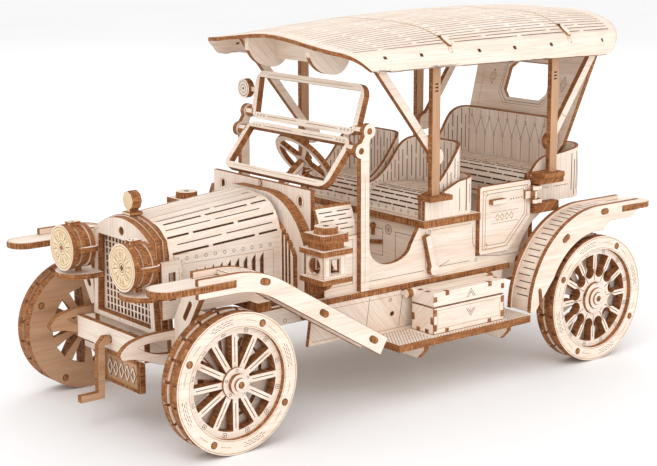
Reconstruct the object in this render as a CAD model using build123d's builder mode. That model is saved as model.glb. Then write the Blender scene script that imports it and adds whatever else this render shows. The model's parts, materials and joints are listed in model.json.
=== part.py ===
from build123d import *
import os
from math import asin, cos, degrees, radians, sin, sqrt

os.makedirs("parts", exist_ok=True)

# A vintage touring car put together from laser-cut plywood, about 1:16.
# +X is forward, +Y is the car's left, +Z is up. The origin is on the ground, under the
# middle of the car's length and width. Millimetres.

# Driving dimensions
PLY = 3.0  # structural board
SHEET = 2.0  # thin board that is bent along rows of cuts
RUN = 0.05  # running clearance round a pin or shaft
GAP = 0.4  # space beside a part that swings
HALF_LENGTH = 158.8
FRONT_AXLE_X = 119.0
REAR_AXLE_X = -114.7
FRONT_RADIUS = 32.5
REAR_RADIUS = 33.6
WHEEL_OUTER_Y = 71.3
WHEEL_WIDTH = 12.2
RAIL_Y = 33.0  # outer face of each chassis rail
BODY_Y = 47.0  # outer face of each body side
POST_Y = 53.5  # outer face of the roof posts
SILL_Z = 54.0  # underside of the body
BOARD_Z = 32.7  # top of the running boards
SEAT_Z = 85.5  # top of the front seat board
BONNET_Y = 27.0  # half width of the bonnet
RADIATOR_X = 133.4  # front face of the radiator
FIREWALL_X = 62.0  # front face of the firewall
A_POST_X = 28.3
B_POST_X = -14.0
C_POST_X = -97.0
ROOF_FRONT_X = 48.0
ROOF_REAR_X = -143.4
ROOF_HALF_WIDTH = 63.0
ROOF_EDGE_Z = 161.6


def save(piece, name):
    """Label a finished piece and write it as its own file."""
    piece.part.label = name
    export_step(piece.part, f"parts/{name}.step")


def save_pair(piece, name):
    """Write a left-hand piece and its mirror image as two pieces."""
    save(piece, f"{name}_left")
    with BuildPart() as other:
        mirror(piece.part, about=Plane.XZ)
    save(other, f"{name}_right")
    return other


def save_both(piece, name):
    """Write a left-hand piece and its mirror image together, as separate solids of one node."""
    with BuildPart() as pair:
        add(piece.part)
        mirror(piece.part, about=Plane.XZ)
    save(pair, name)


def side_plane(y):
    """A drawing plane facing inwards from the left: its x is +X and its y is +Z."""
    return Plane.XZ.offset(-y)


def outline(points):
    """A closed straight-sided shape."""
    with BuildSketch() as shape:
        with BuildLine():
            Polyline(*points, close=True)
        make_face()
    return shape.sketch


def arch(half_width, foot, shoulder, crown, flat=0.0):
    """A board that stands on `foot`, has straight sides up to `shoulder` and a round top."""
    with BuildSketch() as shape:
        with BuildLine():
            Polyline((-half_width, shoulder), (-half_width, foot), (half_width, foot), (half_width, shoulder))
            if flat:
                RadiusArc((half_width, shoulder), (flat, crown), -1.15 * (half_width - flat))
                Line((flat, crown), (-flat, crown))
                RadiusArc((-flat, crown), (-half_width, shoulder), -1.15 * (half_width - flat))
            else:
                ThreePointArc((half_width, shoulder), (0, crown), (-half_width, shoulder))
        make_face()
    return shape.sketch


# ---------------------------------------------------------------- wheels
TYRE_BAND = 7.0  # width of the flat outer ring
RIM_BAND = 3.2
TREAD_NOTCHES = 20
TREAD_ROW = 4.6  # width of each row of tread blocks
SPOKES = 12
SPOKE_WIDTH = 3.0
SPOKE_DEPTH = 5.0
RIM_INSET = 2.4
AXLE_R = 2.0


def wheel_face(axle_x, radius):
    """The outer face of a left wheel; extrusions from it go inwards."""
    return Plane(origin=(axle_x, WHEEL_OUTER_Y, radius), x_dir=(1, 0, 0), z_dir=(0, -1, 0))


def make_tyre(axle_x, radius):
    """A ring of stacked boards with two rows of tread blocks and a groove between them."""
    face = wheel_face(axle_x, radius)
    with BuildPart() as tyre:
        with BuildSketch(face):
            Circle(radius)
            Circle(radius - TYRE_BAND, mode=Mode.SUBTRACT)
        extrude(amount=WHEEL_WIDTH)
        with BuildSketch(face.offset(TREAD_ROW)):
            Circle(radius + 1)
            Circle(radius - 1.2, mode=Mode.SUBTRACT)
        extrude(amount=WHEEL_WIDTH - 2 * TREAD_ROW, mode=Mode.SUBTRACT)
        with BuildSketch(face.offset(1.2)):
            with PolarLocations(radius, TREAD_NOTCHES, start_angle=180 / TREAD_NOTCHES):
                Rectangle(2.4, 1.4)
        extrude(amount=WHEEL_WIDTH - 2.4, mode=Mode.SUBTRACT)
    return tyre


def make_spokes(axle_x, radius, hub_disc, scallop, bosses, bore):
    """Rim ring, spokes and stepped hub in one double board, with a windowed disc on the inner face."""
    face = wheel_face(axle_x, radius)
    rim = radius - TYRE_BAND
    inner = rim - RIM_BAND
    disc_depth = 2.6
    with BuildPart() as spokes:
        with BuildSketch(face.offset(RIM_INSET)):
            Circle(rim)
            Circle(inner, mode=Mode.SUBTRACT)
            with PolarLocations((inner + 1) / 2, SPOKES):
                Rectangle(inner + 1, SPOKE_WIDTH)
            Circle(hub_disc)
            if scallop:
                with PolarLocations(hub_disc, SPOKES, start_angle=180 / SPOKES):
                    Circle(scallop, mode=Mode.SUBTRACT)
        extrude(amount=SPOKE_DEPTH)
        for boss_radius, proud in bosses:
            with BuildSketch(face.offset(RIM_INSET)):
                Circle(boss_radius)
            extrude(amount=-(RIM_INSET + proud))
        with BuildSketch(face.offset(WHEEL_WIDTH - disc_depth)):
            Circle(rim)
            with PolarLocations(inner * 0.62, 10):
                Trapezoid(inner * 0.34, inner * 0.52, 78, rotation=90, mode=Mode.SUBTRACT)
        extrude(amount=disc_depth)
        with BuildSketch(face.offset(RIM_INSET)):
            Circle(5.5)
        extrude(amount=WHEEL_WIDTH - RIM_INSET - 1)
        with BuildSketch(face.offset(RIM_INSET + 0.8)):
            Circle(bore)
        extrude(amount=WHEEL_WIDTH, mode=Mode.SUBTRACT)
    return spokes


FRONT_BOSSES = ((7.2, -1.2), (4.6, 1.0), (3.0, 2.5))
REAR_BOSSES = ((8.4, -0.9), (5.6, 0.2), (3.4, 1.0))
front_tyre = make_tyre(FRONT_AXLE_X, FRONT_RADIUS)
front_spokes = make_spokes(FRONT_AXLE_X, FRONT_RADIUS, 7.2, 0, FRONT_BOSSES, AXLE_R + RUN)
rear_tyre = make_tyre(REAR_AXLE_X, REAR_RADIUS)
rear_spokes = make_spokes(REAR_AXLE_X, REAR_RADIUS, 14.5, 3.2, REAR_BOSSES, AXLE_R)
save_pair(front_tyre, "front_tyre")
save_pair(front_spokes, "front_spokes")
save_pair(rear_tyre, "rear_tyre")
save_pair(rear_spokes, "rear_spokes")

with BuildPart() as rear_axle:
    with BuildSketch(side_plane(WHEEL_OUTER_Y - RIM_INSET - 0.8)):
        with Locations((REAR_AXLE_X, REAR_RADIUS)):
            Circle(AXLE_R)
    extrude(amount=2 * (WHEEL_OUTER_Y - RIM_INSET - 0.8))
save(rear_axle, "rear_axle")

# ---------------------------------------------------------------- front axle and steering
KINGPIN_Y = 50.0
KINGPIN_R = 1.5
BARREL_R = 3.4
FORK_IN = 5.8  # fork web to kingpin
FORK_TOP = 42.0
FORK_BOTTOM = 23.0

with BuildPart() as front_axle_beam:
    with BuildSketch(Plane.YZ.offset(FRONT_AXLE_X - PLY / 2)):
        with Locations((0, FRONT_RADIUS)):
            Rectangle(2 * (KINGPIN_Y - FORK_IN), 9)
    extrude(amount=PLY)
    with BuildSketch(Plane.YZ.offset(FRONT_AXLE_X - 4.5)):
        with Locations((KINGPIN_Y - 1, FRONT_RADIUS)):
            Rectangle(2 * (FORK_IN - 1) + 2, FORK_TOP - FORK_BOTTOM)
        with Locations((KINGPIN_Y + 2, FRONT_RADIUS)):
            Rectangle(12.6, 12.8, mode=Mode.SUBTRACT)
    extrude(amount=9)
    with BuildSketch(Plane.XY.offset(FORK_BOTTOM - 1)):
        with Locations((FRONT_AXLE_X, KINGPIN_Y)):
            Circle(KINGPIN_R + RUN)
    extrude(amount=FORK_TOP - FORK_BOTTOM + 2, mode=Mode.SUBTRACT)
    mirror(about=Plane.XZ)
save(front_axle_beam, "front_axle_beam")

with BuildPart() as knuckle:
    with BuildSketch(Plane.XY.offset(FORK_BOTTOM - 0.5)):
        with Locations((FRONT_AXLE_X, KINGPIN_Y)):
            Circle(KINGPIN_R)
    extrude(amount=FORK_TOP - FORK_BOTTOM + 1)
    with BuildSketch(Plane.XY.offset(FRONT_RADIUS - 6.0)):
        with Locations((FRONT_AXLE_X, KINGPIN_Y)):
            Circle(BARREL_R)
    extrude(amount=12.0)
    with BuildSketch(side_plane(WHEEL_OUTER_Y - RIM_INSET - 1.2)):
        with Locations((FRONT_AXLE_X, FRONT_RADIUS)):
            Circle(AXLE_R)
    extrude(amount=WHEEL_OUTER_Y - RIM_INSET - 1.2 - KINGPIN_Y)
    with BuildSketch(side_plane(WHEEL_OUTER_Y - WHEEL_WIDTH - GAP)):
        with Locations((FRONT_AXLE_X, FRONT_RADIUS)):
            Circle(3.6)
    extrude(amount=3.6)
save_pair(knuckle, "steering_knuckle")

# ---------------------------------------------------------------- chassis
HORN_TIP_X = 155.8
RAIL_TOP = 50.5
RAIL_REAR_X = -140.0
RADIATOR_FOOT = 47.4
BONNET_FOOT = 55.0
CRANK_Z = 41.5
CRANK_R = 1.6
# boards lying across the rails: where each begins, the height of its top, and its half width
BEARERS = ((40.0, SILL_Z, RAIL_Y + 8), (-20.0, SILL_Z, RAIL_Y + 8), (-100.0, SILL_Z, RAIL_Y + 8),
           (72.0, BONNET_FOOT, RAIL_Y), (108.0, BONNET_FOOT, RAIL_Y))

with BuildPart() as chassis_rails:
    with BuildSketch(side_plane(RAIL_Y)):
        with BuildLine():
            Line((RAIL_REAR_X, 42.0), (RAIL_REAR_X, RAIL_TOP))
            Line((RAIL_REAR_X, RAIL_TOP), (132, RAIL_TOP))
            Spline((132, RAIL_TOP), (146, 49.6), (HORN_TIP_X, 44.0), tangents=((1, 0), (0.6, -1)))
            ThreePointArc((HORN_TIP_X, 44.0), (HORN_TIP_X - 0.6, 41.4), (HORN_TIP_X - 3, 40.6))
            Spline((HORN_TIP_X - 3, 40.6), (143, 38.6), (129, 34.0), tangents=((-1, 0), (-1, -0.2)))
            Polyline((129, 34.0), (123, 34.0), (123, 42.0), (RAIL_REAR_X, 42.0))
        make_face()
        with BuildLine():
            Spline((146.5, 45.6), (138.0, 46.4), (129, 46.0))
            Line((129, 46.0), (129, 40.0))
            Spline((129, 40.0), (139, 41.6), (146.5, 45.6))
        make_face(mode=Mode.SUBTRACT)
    extrude(amount=PLY)
    mirror(about=Plane.XZ)
save(chassis_rails, "chassis_rails")

INSIDE_RAILS = 2 * (RAIL_Y - PLY)


def cross_board(x, bottom, top, width=INSIDE_RAILS):
    """A board standing across the car with its rear face at x."""
    with BuildSketch(Plane.YZ.offset(x)) as board:
        with Locations((0, (bottom + top) / 2)):
            Rectangle(width, top - bottom)
    extrude(board.sketch, amount=PLY)


with BuildPart() as chassis_cross_boards:
    cross_board(138.2, 36.5, 47.0)
    cross_board(90.0, 42.0, RAIL_TOP)
    cross_board(20.0, 42.0, RAIL_TOP)
    cross_board(-60.0, 42.0, RAIL_TOP)
    cross_board(-139.0, 42.0, RAIL_TOP)
    cross_board(126.0, 41.0, RADIATOR_FOOT)
    with BuildSketch(Plane.YZ.offset(138.2)):
        with Locations((0, CRANK_Z)):
            Circle(CRANK_R + RUN)
    extrude(amount=PLY, mode=Mode.SUBTRACT)
    for x, top, half in BEARERS:
        with BuildSketch(Plane.YZ.offset(x)):
            with Locations((0, (RAIL_TOP + top) / 2)):
                Rectangle(2 * half, top - RAIL_TOP)
        extrude(amount=8)
save(chassis_cross_boards, "chassis_cross_boards")

# Hangers hold the axles under the rails; the rear pair has running holes for the turning axle.
with BuildPart() as axle_hangers:
    for axle_x, radius, reach in ((FRONT_AXLE_X - 12, FRONT_RADIUS, 0), (REAR_AXLE_X, REAR_RADIUS, 1)):
        with BuildSketch(side_plane(RAIL_Y - PLY)):
            if reach:
                add(outline(((axle_x - 13, 42), (axle_x - 5.5, 29.5), (axle_x + 5.5, 29.5), (axle_x + 13, 42),
                             (axle_x + 13, RAIL_TOP), (axle_x - 13, RAIL_TOP))))
                with Locations((axle_x, radius)):
                    Circle(5.5)
                    Circle(AXLE_R + RUN, mode=Mode.SUBTRACT)
            else:
                add(outline(((axle_x - 8, RAIL_TOP), (axle_x - 3, 28.0), (axle_x + 10.5, 28.0),
                             (axle_x + 10.5, 37.0), (axle_x + 9, RAIL_TOP))))
        extrude(amount=PLY)
    mirror(about=Plane.XZ)
save(axle_hangers, "axle_hangers")

# Slanting stays carry the front fenders from the rails.
with BuildPart() as fender_stays:
    with BuildSketch(Plane.YZ.offset(124.0)):
        add(outline(((RAIL_Y, 44.0), (RAIL_Y + 5, 44.0), (53.4, 68.0), (53.4, 76.0), (45.0, 76.0),
                     (RAIL_Y, 56.0))))
        with Locations(Location((44, 61.5), 57)):
            SlotOverall(11, 2.6, mode=Mode.SUBTRACT)
    extrude(amount=PLY)
    mirror(about=Plane.XZ)
save(fender_stays, "fender_stays")

FLOOR_REAR_X = -128.0
BODY_BOARD = 2.5
with BuildPart() as floor_board:
    with BuildSketch(Plane.XY.offset(SILL_Z)):
        with Locations(((FIREWALL_X + FLOOR_REAR_X) / 2, 0)):
            Rectangle(FIREWALL_X - FLOOR_REAR_X, 2 * (BODY_Y - BODY_BOARD))
    extrude(amount=PLY)
save(floor_board, "floor_board")

# ---------------------------------------------------------------- body sides, sills and aprons
DOOR_FRONT_X = -48.4
DOOR_REAR_X = -85.0
DOOR_TOP_Z = 98.0
LEDGE_Z = SEAT_Z - 3.6
LEVER_PIVOT = (-17.0, 60.0)
LEVER_PIN_R = 1.2

with BuildPart() as body_side:
    with BuildSketch(side_plane(BODY_Y)):
        with BuildLine():
            Polyline((FIREWALL_X - 11.0, 84.0), (FIREWALL_X - 11.0, SILL_Z), (-76.0, SILL_Z), (-81.5, 66.0),
                     (-88.0, 74.0), (-98.0, 80.5), (-104.0, 82.0), (-104.0, 84.0), (DOOR_REAR_X - 0.6, 84.0),
                     (DOOR_REAR_X - 0.6, 78.0), (-69.6, 61.8), (DOOR_FRONT_X + GAP, 61.8),
                     (DOOR_FRONT_X + GAP, LEDGE_Z), (-9.0, LEDGE_Z))
            Line((-9.0, LEDGE_Z), (-4.0, 74.0))
            Spline((-4.0, 74.0), (2.0, 68.0), (10.0, 66.5), tangents=((0.3, -1), (1, 0)))
            Spline((10.0, 66.5), (19.0, 69.0), (23.0, 76.0), tangents=((1, 0), (0.1, 1)))
            Polyline((23.0, 76.0), (23.0, 84.0), (FIREWALL_X - 11.0, 84.0))
        make_face()
        with Locations(LEVER_PIVOT):
            Circle(LEVER_PIN_R + RUN, mode=Mode.SUBTRACT)
    extrude(amount=BODY_BOARD)
save_both(body_side, "body_sides")

with BuildPart() as sill_rails:
    with BuildSketch(Plane.XY.offset(SILL_Z - 1.0)):
        with Locations(((60.0 - 70.0) / 2, BODY_Y + 1.5)):
            Rectangle(130.0, 3.0)
    extrude(amount=PLY)
    mirror(about=Plane.XZ)
save(sill_rails, "sill_rails")

APRON_FRONT_X = 60.0
APRON_REAR_X = -66.0
with BuildPart() as aprons:
    with BuildSketch(Plane.YZ.offset(APRON_REAR_X)):
        add(outline(((43.5, BOARD_Z), (45.7, BOARD_Z), (BODY_Y + 2.2, SILL_Z - 1.0), (BODY_Y, SILL_Z - 1.0))))
    extrude(amount=APRON_FRONT_X - APRON_REAR_X)
    mirror(about=Plane.XZ)
save(aprons, "aprons")

BOARD_FRONT_X = 24.6
BOARD_REAR_X = -64.6
BOARD_THICK = 3.6
with BuildPart() as running_board:
    with BuildSketch(Plane.XY.offset(BOARD_Z - BOARD_THICK)):
        with Locations(((BOARD_FRONT_X + BOARD_REAR_X) / 2, (71.3 + 38.0) / 2)):
            Rectangle(BOARD_FRONT_X - BOARD_REAR_X, 71.3 - 38.0)
    extrude(amount=BOARD_THICK)
save_both(running_board, "running_boards")

with BuildPart() as board_brackets:
    for x in (0.0, -57.0):
        with BuildSketch(Plane.YZ.offset(x)):
            add(outline(((RAIL_Y, RAIL_TOP), (RAIL_Y, 30.0), (40.0, 20.0), (60.0, 20.0), (65.0, 25.0),
                         (65.0, BOARD_Z - BOARD_THICK), (37.6, BOARD_Z - BOARD_THICK), (37.6, RAIL_TOP))))
        extrude(amount=PLY)
    mirror(about=Plane.XZ)
save(board_brackets, "board_brackets")

# ---------------------------------------------------------------- fenders
FENDER_OUT_Y = 70.8
FENDER_IN_Y = 54.0
FENDER_PLATE = 2.4
FRONT_SLOPE = 31.2  # downward slope of the front fender's tail, degrees
FRONT_TAIL = 72.0


def front_fender_band(plane, radius, width, nose_x, depth, tail=FRONT_TAIL):
    """A band over the front wheel: level nose, round over the wheel, straight down to the board."""
    turn = radians(90 + FRONT_SLOPE)
    knee = (FRONT_AXLE_X + radius * cos(turn), FRONT_RADIUS + radius * sin(turn))
    foot = (knee[0] - tail * cos(radians(FRONT_SLOPE)), knee[1] - tail * sin(radians(FRONT_SLOPE)))
    with BuildSketch(plane) as band:
        with BuildLine():
            Line((nose_x, FRONT_RADIUS + radius), (FRONT_AXLE_X, FRONT_RADIUS + radius))
            CenterArc((FRONT_AXLE_X, FRONT_RADIUS), radius, 90, FRONT_SLOPE)
            Line(knee, foot)
        trace(line_width=width)
    extrude(band.sketch, amount=depth)


def rear_fender_band(plane, radius, width, depth, tail_x=-146.0, lowest=0.0):
    """A band over the rear wheel: round from the board to the top, then a level tail."""
    with BuildSketch(plane) as band:
        with BuildLine():
            CenterArc((REAR_AXLE_X, REAR_RADIUS), radius, lowest, 90 - lowest)
            Line((REAR_AXLE_X, REAR_RADIUS + radius), (tail_x, REAR_RADIUS + radius))
        trace(line_width=width)
    extrude(band.sketch, amount=depth)


TONGUE_Z = 76.4
TAIL_Z = 78.2


def tongue(tip_x, root_x, z):
    """A flat board with a rounded tip that reaches beyond the wheel."""
    inner = FENDER_IN_Y + 0.6
    half = (FENDER_OUT_Y + 0.5 - inner) / 2
    sense = 1 if tip_x > root_x else -1
    with BuildSketch(Plane.XY.offset(z)) as board:
        with Locations((tip_x - sense * half, inner + half)):
            Circle(half)
        with Locations(((root_x + tip_x - sense * half) / 2, inner + half)):
            Rectangle(abs(tip_x - sense * half - root_x), 2 * half)
    extrude(board.sketch, amount=PLY)


with BuildPart() as front_fender:
    front_fender_band(side_plane(FENDER_OUT_Y), 45.5, 9.0, 139.0, FENDER_PLATE)
    front_fender_band(side_plane(FENDER_IN_Y + FENDER_PLATE), 45.5, 9.0, 132.0, FENDER_PLATE)
    with BuildSketch(Plane.XY.offset(TONGUE_Z)):
        with Locations((130, FENDER_OUT_Y)):
            Rectangle(22, 12)
        with Locations((130, FENDER_IN_Y)):
            Rectangle(22, 12)
    extrude(amount=PLY, mode=Mode.SUBTRACT)
with BuildPart() as front_fender_sheet:
    front_fender_band(side_plane(FENDER_OUT_Y - FENDER_PLATE), 48.2, SHEET, 119.5,
                      FENDER_OUT_Y - FENDER_IN_Y - 2 * FENDER_PLATE, FRONT_TAIL - 1)
with BuildPart() as front_tongue:
    tongue(HALF_LENGTH, 119.5, TONGUE_Z)
    with BuildSketch(Plane.XY.offset(TONGUE_Z - 1)):
        with Locations((119, FENDER_IN_Y)):
            Rectangle(2 * (121 - 119), 2 * FENDER_PLATE + 1)
    extrude(amount=PLY + 2, mode=Mode.SUBTRACT)
save_both(front_fender, "front_fender_plates")
save_both(front_fender_sheet, "front_fender_sheets")
save_both(front_tongue, "front_fender_tongues")

with BuildPart() as rear_fender:
    for y in (FENDER_OUT_Y, FENDER_IN_Y + FENDER_PLATE):
        rear_fender_band(side_plane(y), 43.3, 13.4, FENDER_PLATE)
    with BuildSketch(side_plane(FENDER_OUT_Y + 1)):
        add(outline(((REAR_AXLE_X + 30, BOARD_Z - 8), (REAR_AXLE_X + 47, BOARD_Z), (REAR_AXLE_X + 31, 52.0),
                     (REAR_AXLE_X + 20, 52.0))))
    extrude(amount=FENDER_OUT_Y - FENDER_IN_Y + 3, mode=Mode.SUBTRACT)
    with BuildSketch(side_plane(FENDER_OUT_Y + 1)):
        add(outline(((-116.0, 68.0), (-124.0, 74.4), (-141.4, 74.6), (-150.0, 82.0), (-150.0, 68.0))))
    extrude(amount=FENDER_OUT_Y - FENDER_IN_Y + 3, mode=Mode.SUBTRACT)
    with BuildSketch(Plane.XY.offset(TAIL_Z)):
        with Locations((-141, (FENDER_OUT_Y + FENDER_IN_Y) / 2)):
            Rectangle(16, 30)
    extrude(amount=PLY, mode=Mode.SUBTRACT)
with BuildPart() as rear_fender_sheet:
    rear_fender_band(side_plane(FENDER_OUT_Y - FENDER_PLATE), 47.6, SHEET,
                     FENDER_OUT_Y - FENDER_IN_Y - 2 * FENDER_PLATE, -132.6)
with BuildPart() as rear_tongue:
    tongue(-HALF_LENGTH, -133.0, TAIL_Z)
save_both(rear_fender, "rear_fender_plates")
save_both(rear_fender_sheet, "rear_fender_sheets")
save_both(rear_tongue, "rear_fender_tongues")

# ---------------------------------------------------------------- radiator
GRILLE_FOOT = 50.0


def radiator_board(grow, opening):
    """One board of the radiator shell; `grow` widens its edge, `opening` is the window's half width."""
    with BuildSketch() as shape:
        with BuildLine():
            Polyline((-24.0 - grow, 90.0), (-27.5 - grow, RADIATOR_FOOT), (27.5 + grow, RADIATOR_FOOT),
                     (24.0 + grow, 90.0))
            ThreePointArc((24.0 + grow, 90.0), (0, 98.0 + grow), (-24.0 - grow, 90.0))
        make_face()
        add(outline(((-opening - 2.6, GRILLE_FOOT), (opening + 2.6, GRILLE_FOOT), (opening, 87.5),
                     (-opening, 87.5))), mode=Mode.SUBTRACT)
    return shape.sketch


with BuildPart() as radiator_shell:
    with BuildSketch(Plane.YZ.offset(RADIATOR_X - 3.0)):
        add(radiator_board(0.0, 20.6))
        with Locations((0, 91.8)):
            Circle(1.7, mode=Mode.SUBTRACT)
    extrude(amount=3.0)
    for step, grow in enumerate((0.9, -0.6, 0.9)):
        with BuildSketch(Plane.YZ.offset(RADIATOR_X - 5.0 - 2 * step)):
            add(radiator_board(grow, 21.6))
        extrude(amount=2.0)
save(radiator_shell, "radiator_shell")

GRILLE_COLUMNS = 14
GRILLE_ROWS = 11
with BuildPart() as radiator_grille:
    with BuildSketch(Plane.YZ.offset(RADIATOR_X - 5.2)):
        add(outline(((-24.0, GRILLE_FOOT), (24.0, GRILLE_FOOT), (21.4, 87.5), (-21.4, 87.5))))
        with Locations((0, 68.6)):
            with GridLocations(3.05, 3.35, GRILLE_COLUMNS, GRILLE_ROWS):
                Rectangle(1.7, 2.6, mode=Mode.SUBTRACT)
    extrude(amount=1.4)
save(radiator_grille, "radiator_grille")

with BuildPart() as radiator_cap:
    with BuildSketch(Plane.XY.offset(98.9)):
        with Locations((RADIATOR_X - 6.4, 0)):
            Rectangle(7.0, 7.0)
    extrude(amount=1.4)
    with BuildSketch(Plane.YZ.offset(RADIATOR_X - 8.9)):
        with Locations((0, 101.0)):
            Rectangle(3.0, 3.4)
        with Locations((0, 105.6)):
            RegularPolygon(4.6, 8)
    extrude(amount=5.0)
save(radiator_cap, "radiator_cap")

# ---------------------------------------------------------------- bonnet and firewall
BONNET_FRONT_X = RADIATOR_X - 9.0
RIDGE_SLIT = 0.3  # the bonnet is two halves that meet along the ridge
LOUVRES = 9
LOUVRE_FRONT_X = 109.4
LOUVRE_PITCH = 4.7
LOUVRE_WIDTH = 2.2
LOUVRE_FOOT_Z = 63.0
LOUVRE_RISE = 0.3  # each louvre is this much taller than the one in front of it


def bonnet_section(x, half, shoulder, flat, crown, foot):
    """The bonnet's outline across the car at x."""
    with BuildSketch(Plane.YZ.offset(x)) as section:
        with BuildLine():
            TangentArc((half, shoulder), (flat, crown - 1.2), tangent=(0, 1))
            Polyline((flat, crown - 1.2), (0, crown), (-flat, crown - 1.2))
            TangentArc((-half, shoulder), (-flat, crown - 1.2), tangent=(0, 1))
            Polyline((-half, shoulder), (-half, foot), (half, foot), (half, shoulder))
        make_face()
    return section.sketch


with BuildPart() as bonnet:
    nose = bonnet_section(BONNET_FRONT_X, BONNET_Y - 1.0, 82.0, 12.0, 97.6, BONNET_FOOT)
    rear = bonnet_section(FIREWALL_X, BONNET_Y, 86.0, 13.0, 103.4, BONNET_FOOT)
    loft((nose, rear))
    front_core = bonnet_section(BONNET_FRONT_X, BONNET_Y - 3.0, 82.0, 12.0, 95.6, BONNET_FOOT)
    rear_core = bonnet_section(FIREWALL_X, BONNET_Y - 2.0, 86.0, 13.0, 101.4, BONNET_FOOT)
    loft((front_core, rear_core), mode=Mode.SUBTRACT)
    with BuildSketch(Plane.XZ.offset(-40)):
        for louvre in range(LOUVRES):
            x = LOUVRE_FRONT_X - LOUVRE_PITCH * louvre
            rise = LOUVRE_RISE * louvre
            front = x + LOUVRE_WIDTH
            add(outline(((x, LOUVRE_FOOT_Z), (front, LOUVRE_FOOT_Z), (front, 72.6 + rise), (x, 75.4 + rise))))
    extrude(amount=80, mode=Mode.SUBTRACT)
    with BuildSketch(Plane.XY.offset(BONNET_FOOT)):
        with Locations(((BONNET_FRONT_X + FIREWALL_X) / 2, 0)):
            Rectangle(BONNET_FRONT_X - FIREWALL_X + 4.0, RIDGE_SLIT)
    extrude(amount=60, mode=Mode.SUBTRACT)
with BuildPart() as bonnet_cheek:
    with BuildSketch(side_plane(BONNET_Y + 3.4)):
        add(outline(((BONNET_FRONT_X - 4.0, BONNET_FOOT), (RADIATOR_X - 2.0, BONNET_FOOT),
                     (RADIATOR_X - 2.0, 81.5), (BONNET_FRONT_X - 4.0, 81.5))))
        with Locations((RADIATOR_X - 7.6, 70.0)):
            Rectangle(3.6, 13.0, mode=Mode.SUBTRACT)
    extrude(amount=SHEET)
    add(radiator_shell.part, mode=Mode.SUBTRACT)
with BuildPart() as bonnet_set:
    add(bonnet.part)
    add(bonnet_cheek.part)
    mirror(bonnet_cheek.part, about=Plane.XZ)
save(bonnet_set, "bonnet")

with BuildPart() as firewall:
    with BuildSketch(Plane.YZ.offset(FIREWALL_X - 2.5)):
        add(arch(37.0, SILL_Z + PLY, 76.0, 98.0))
        for slot, length in ((29.0, 28.0), (31.6, 24.0), (34.2, 20.0)):
            with Locations((slot, 61.0 + length / 2), (-slot, 61.0 + length / 2)):
                SlotOverall(length, 1.4, rotation=90, mode=Mode.SUBTRACT)
    extrude(amount=2.5)
    with BuildSketch(Plane.YZ.offset(FIREWALL_X - 8.5)):
        add(arch(42.5, SILL_Z + PLY, 80.0, 103.6, flat=13.0))
    extrude(amount=6.0)
save(firewall, "firewall")

SCUTTLE_X = 51.0
with BuildPart() as scuttle_board:
    with BuildSketch(Plane.YZ.offset(SCUTTLE_X)):
        with Locations((0, 95.5)):
            Rectangle(80.0, 23.0)
        with Locations((0, 70.5)):
            Rectangle(2 * (BODY_Y - 2.5), 27.0)
        for side in (-1, 1):
            with Locations((side * 31.8, 100.6)):
                SlotOverall(4.4, 2.6, rotation=90, mode=Mode.SUBTRACT)
    extrude(amount=2.5)
    with BuildSketch(Plane.YZ.offset(SCUTTLE_X + 2.5)):
        with Locations((0, 105.3)):
            Circle(1.5)
    extrude(amount=0.8)
save(scuttle_board, "scuttle_board")

with BuildPart() as cowl_panels:
    with BuildSketch(Plane.YZ.offset(31.4)):
        with BuildLine():
            TangentArc((BODY_Y - 1.2, 84.0), (41.4, 99.0), tangent=(0, 1))
        trace(line_width=SHEET)
    extrude(amount=FIREWALL_X - 8.5 - 31.4)
    mirror(about=Plane.XZ)
save(cowl_panels, "cowl_panels")

# ---------------------------------------------------------------- starting crank and plate
with BuildPart() as starting_crank:
    with BuildSketch(Plane.YZ.offset(130.0)):
        with Locations((0, CRANK_Z)):
            Circle(CRANK_R)
    extrude(amount=14.5)
    with BuildSketch(side_plane(CRANK_R)):
        add(outline(((142.2, 43.6), (145.2, 43.6), (148.6, 40.0), (149.2, 17.4), (HALF_LENGTH - 0.4, 17.4),
                     (HALF_LENGTH - 0.4, 14.0), (145.8, 14.0), (145.0, 39.4), (142.2, 39.4))))
    extrude(amount=2 * CRANK_R)
save(starting_crank, "starting_crank")

with BuildPart() as number_plate:
    with BuildSketch(Plane.YZ.offset(138.2)):
        with Locations((10.0, 28.6)):
            Rectangle(31.0, 15.8)
    extrude(amount=PLY)
save(number_plate, "number_plate")

# ---------------------------------------------------------------- lamps
LAMP_Y = 26.8
LAMP_Z = 81.6
LAMP_STACK = ((147.0, 150.0, 10.9), (144.6, 147.0, 9.2), (142.2, 144.6, 9.9), (139.8, 142.2, 9.2),
              (137.4, 139.8, 10.3))
with BuildPart() as headlamps:
    for back, front_x, radius in LAMP_STACK:
        with BuildSketch(Plane.YZ.offset(back)):
            with Locations((LAMP_Y, LAMP_Z)):
                Circle(radius)
        extrude(amount=front_x - back)
    with BuildSketch(Plane.XY.offset(LAMP_Z + 8.0)):
        with Locations((143.6, LAMP_Y)):
            Rectangle(6.0, 4.4)
    extrude(amount=4.0)
    with BuildSketch(Plane.XY.offset(LAMP_Z - 1.2)):
        with Locations((141.6, LAMP_Y)):
            RectangleRounded(11.6, 25.2, 4.5)
            with Locations((1.6, 0)):
                Rectangle(12.0, 20.4, mode=Mode.SUBTRACT)
    extrude(amount=2.4)
    with BuildSketch(Plane.XY.offset(69.4)):
        with Locations((142.0, LAMP_Y)):
            Circle(2.0)
    extrude(amount=3.4)
    mirror(about=Plane.XZ)

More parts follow.
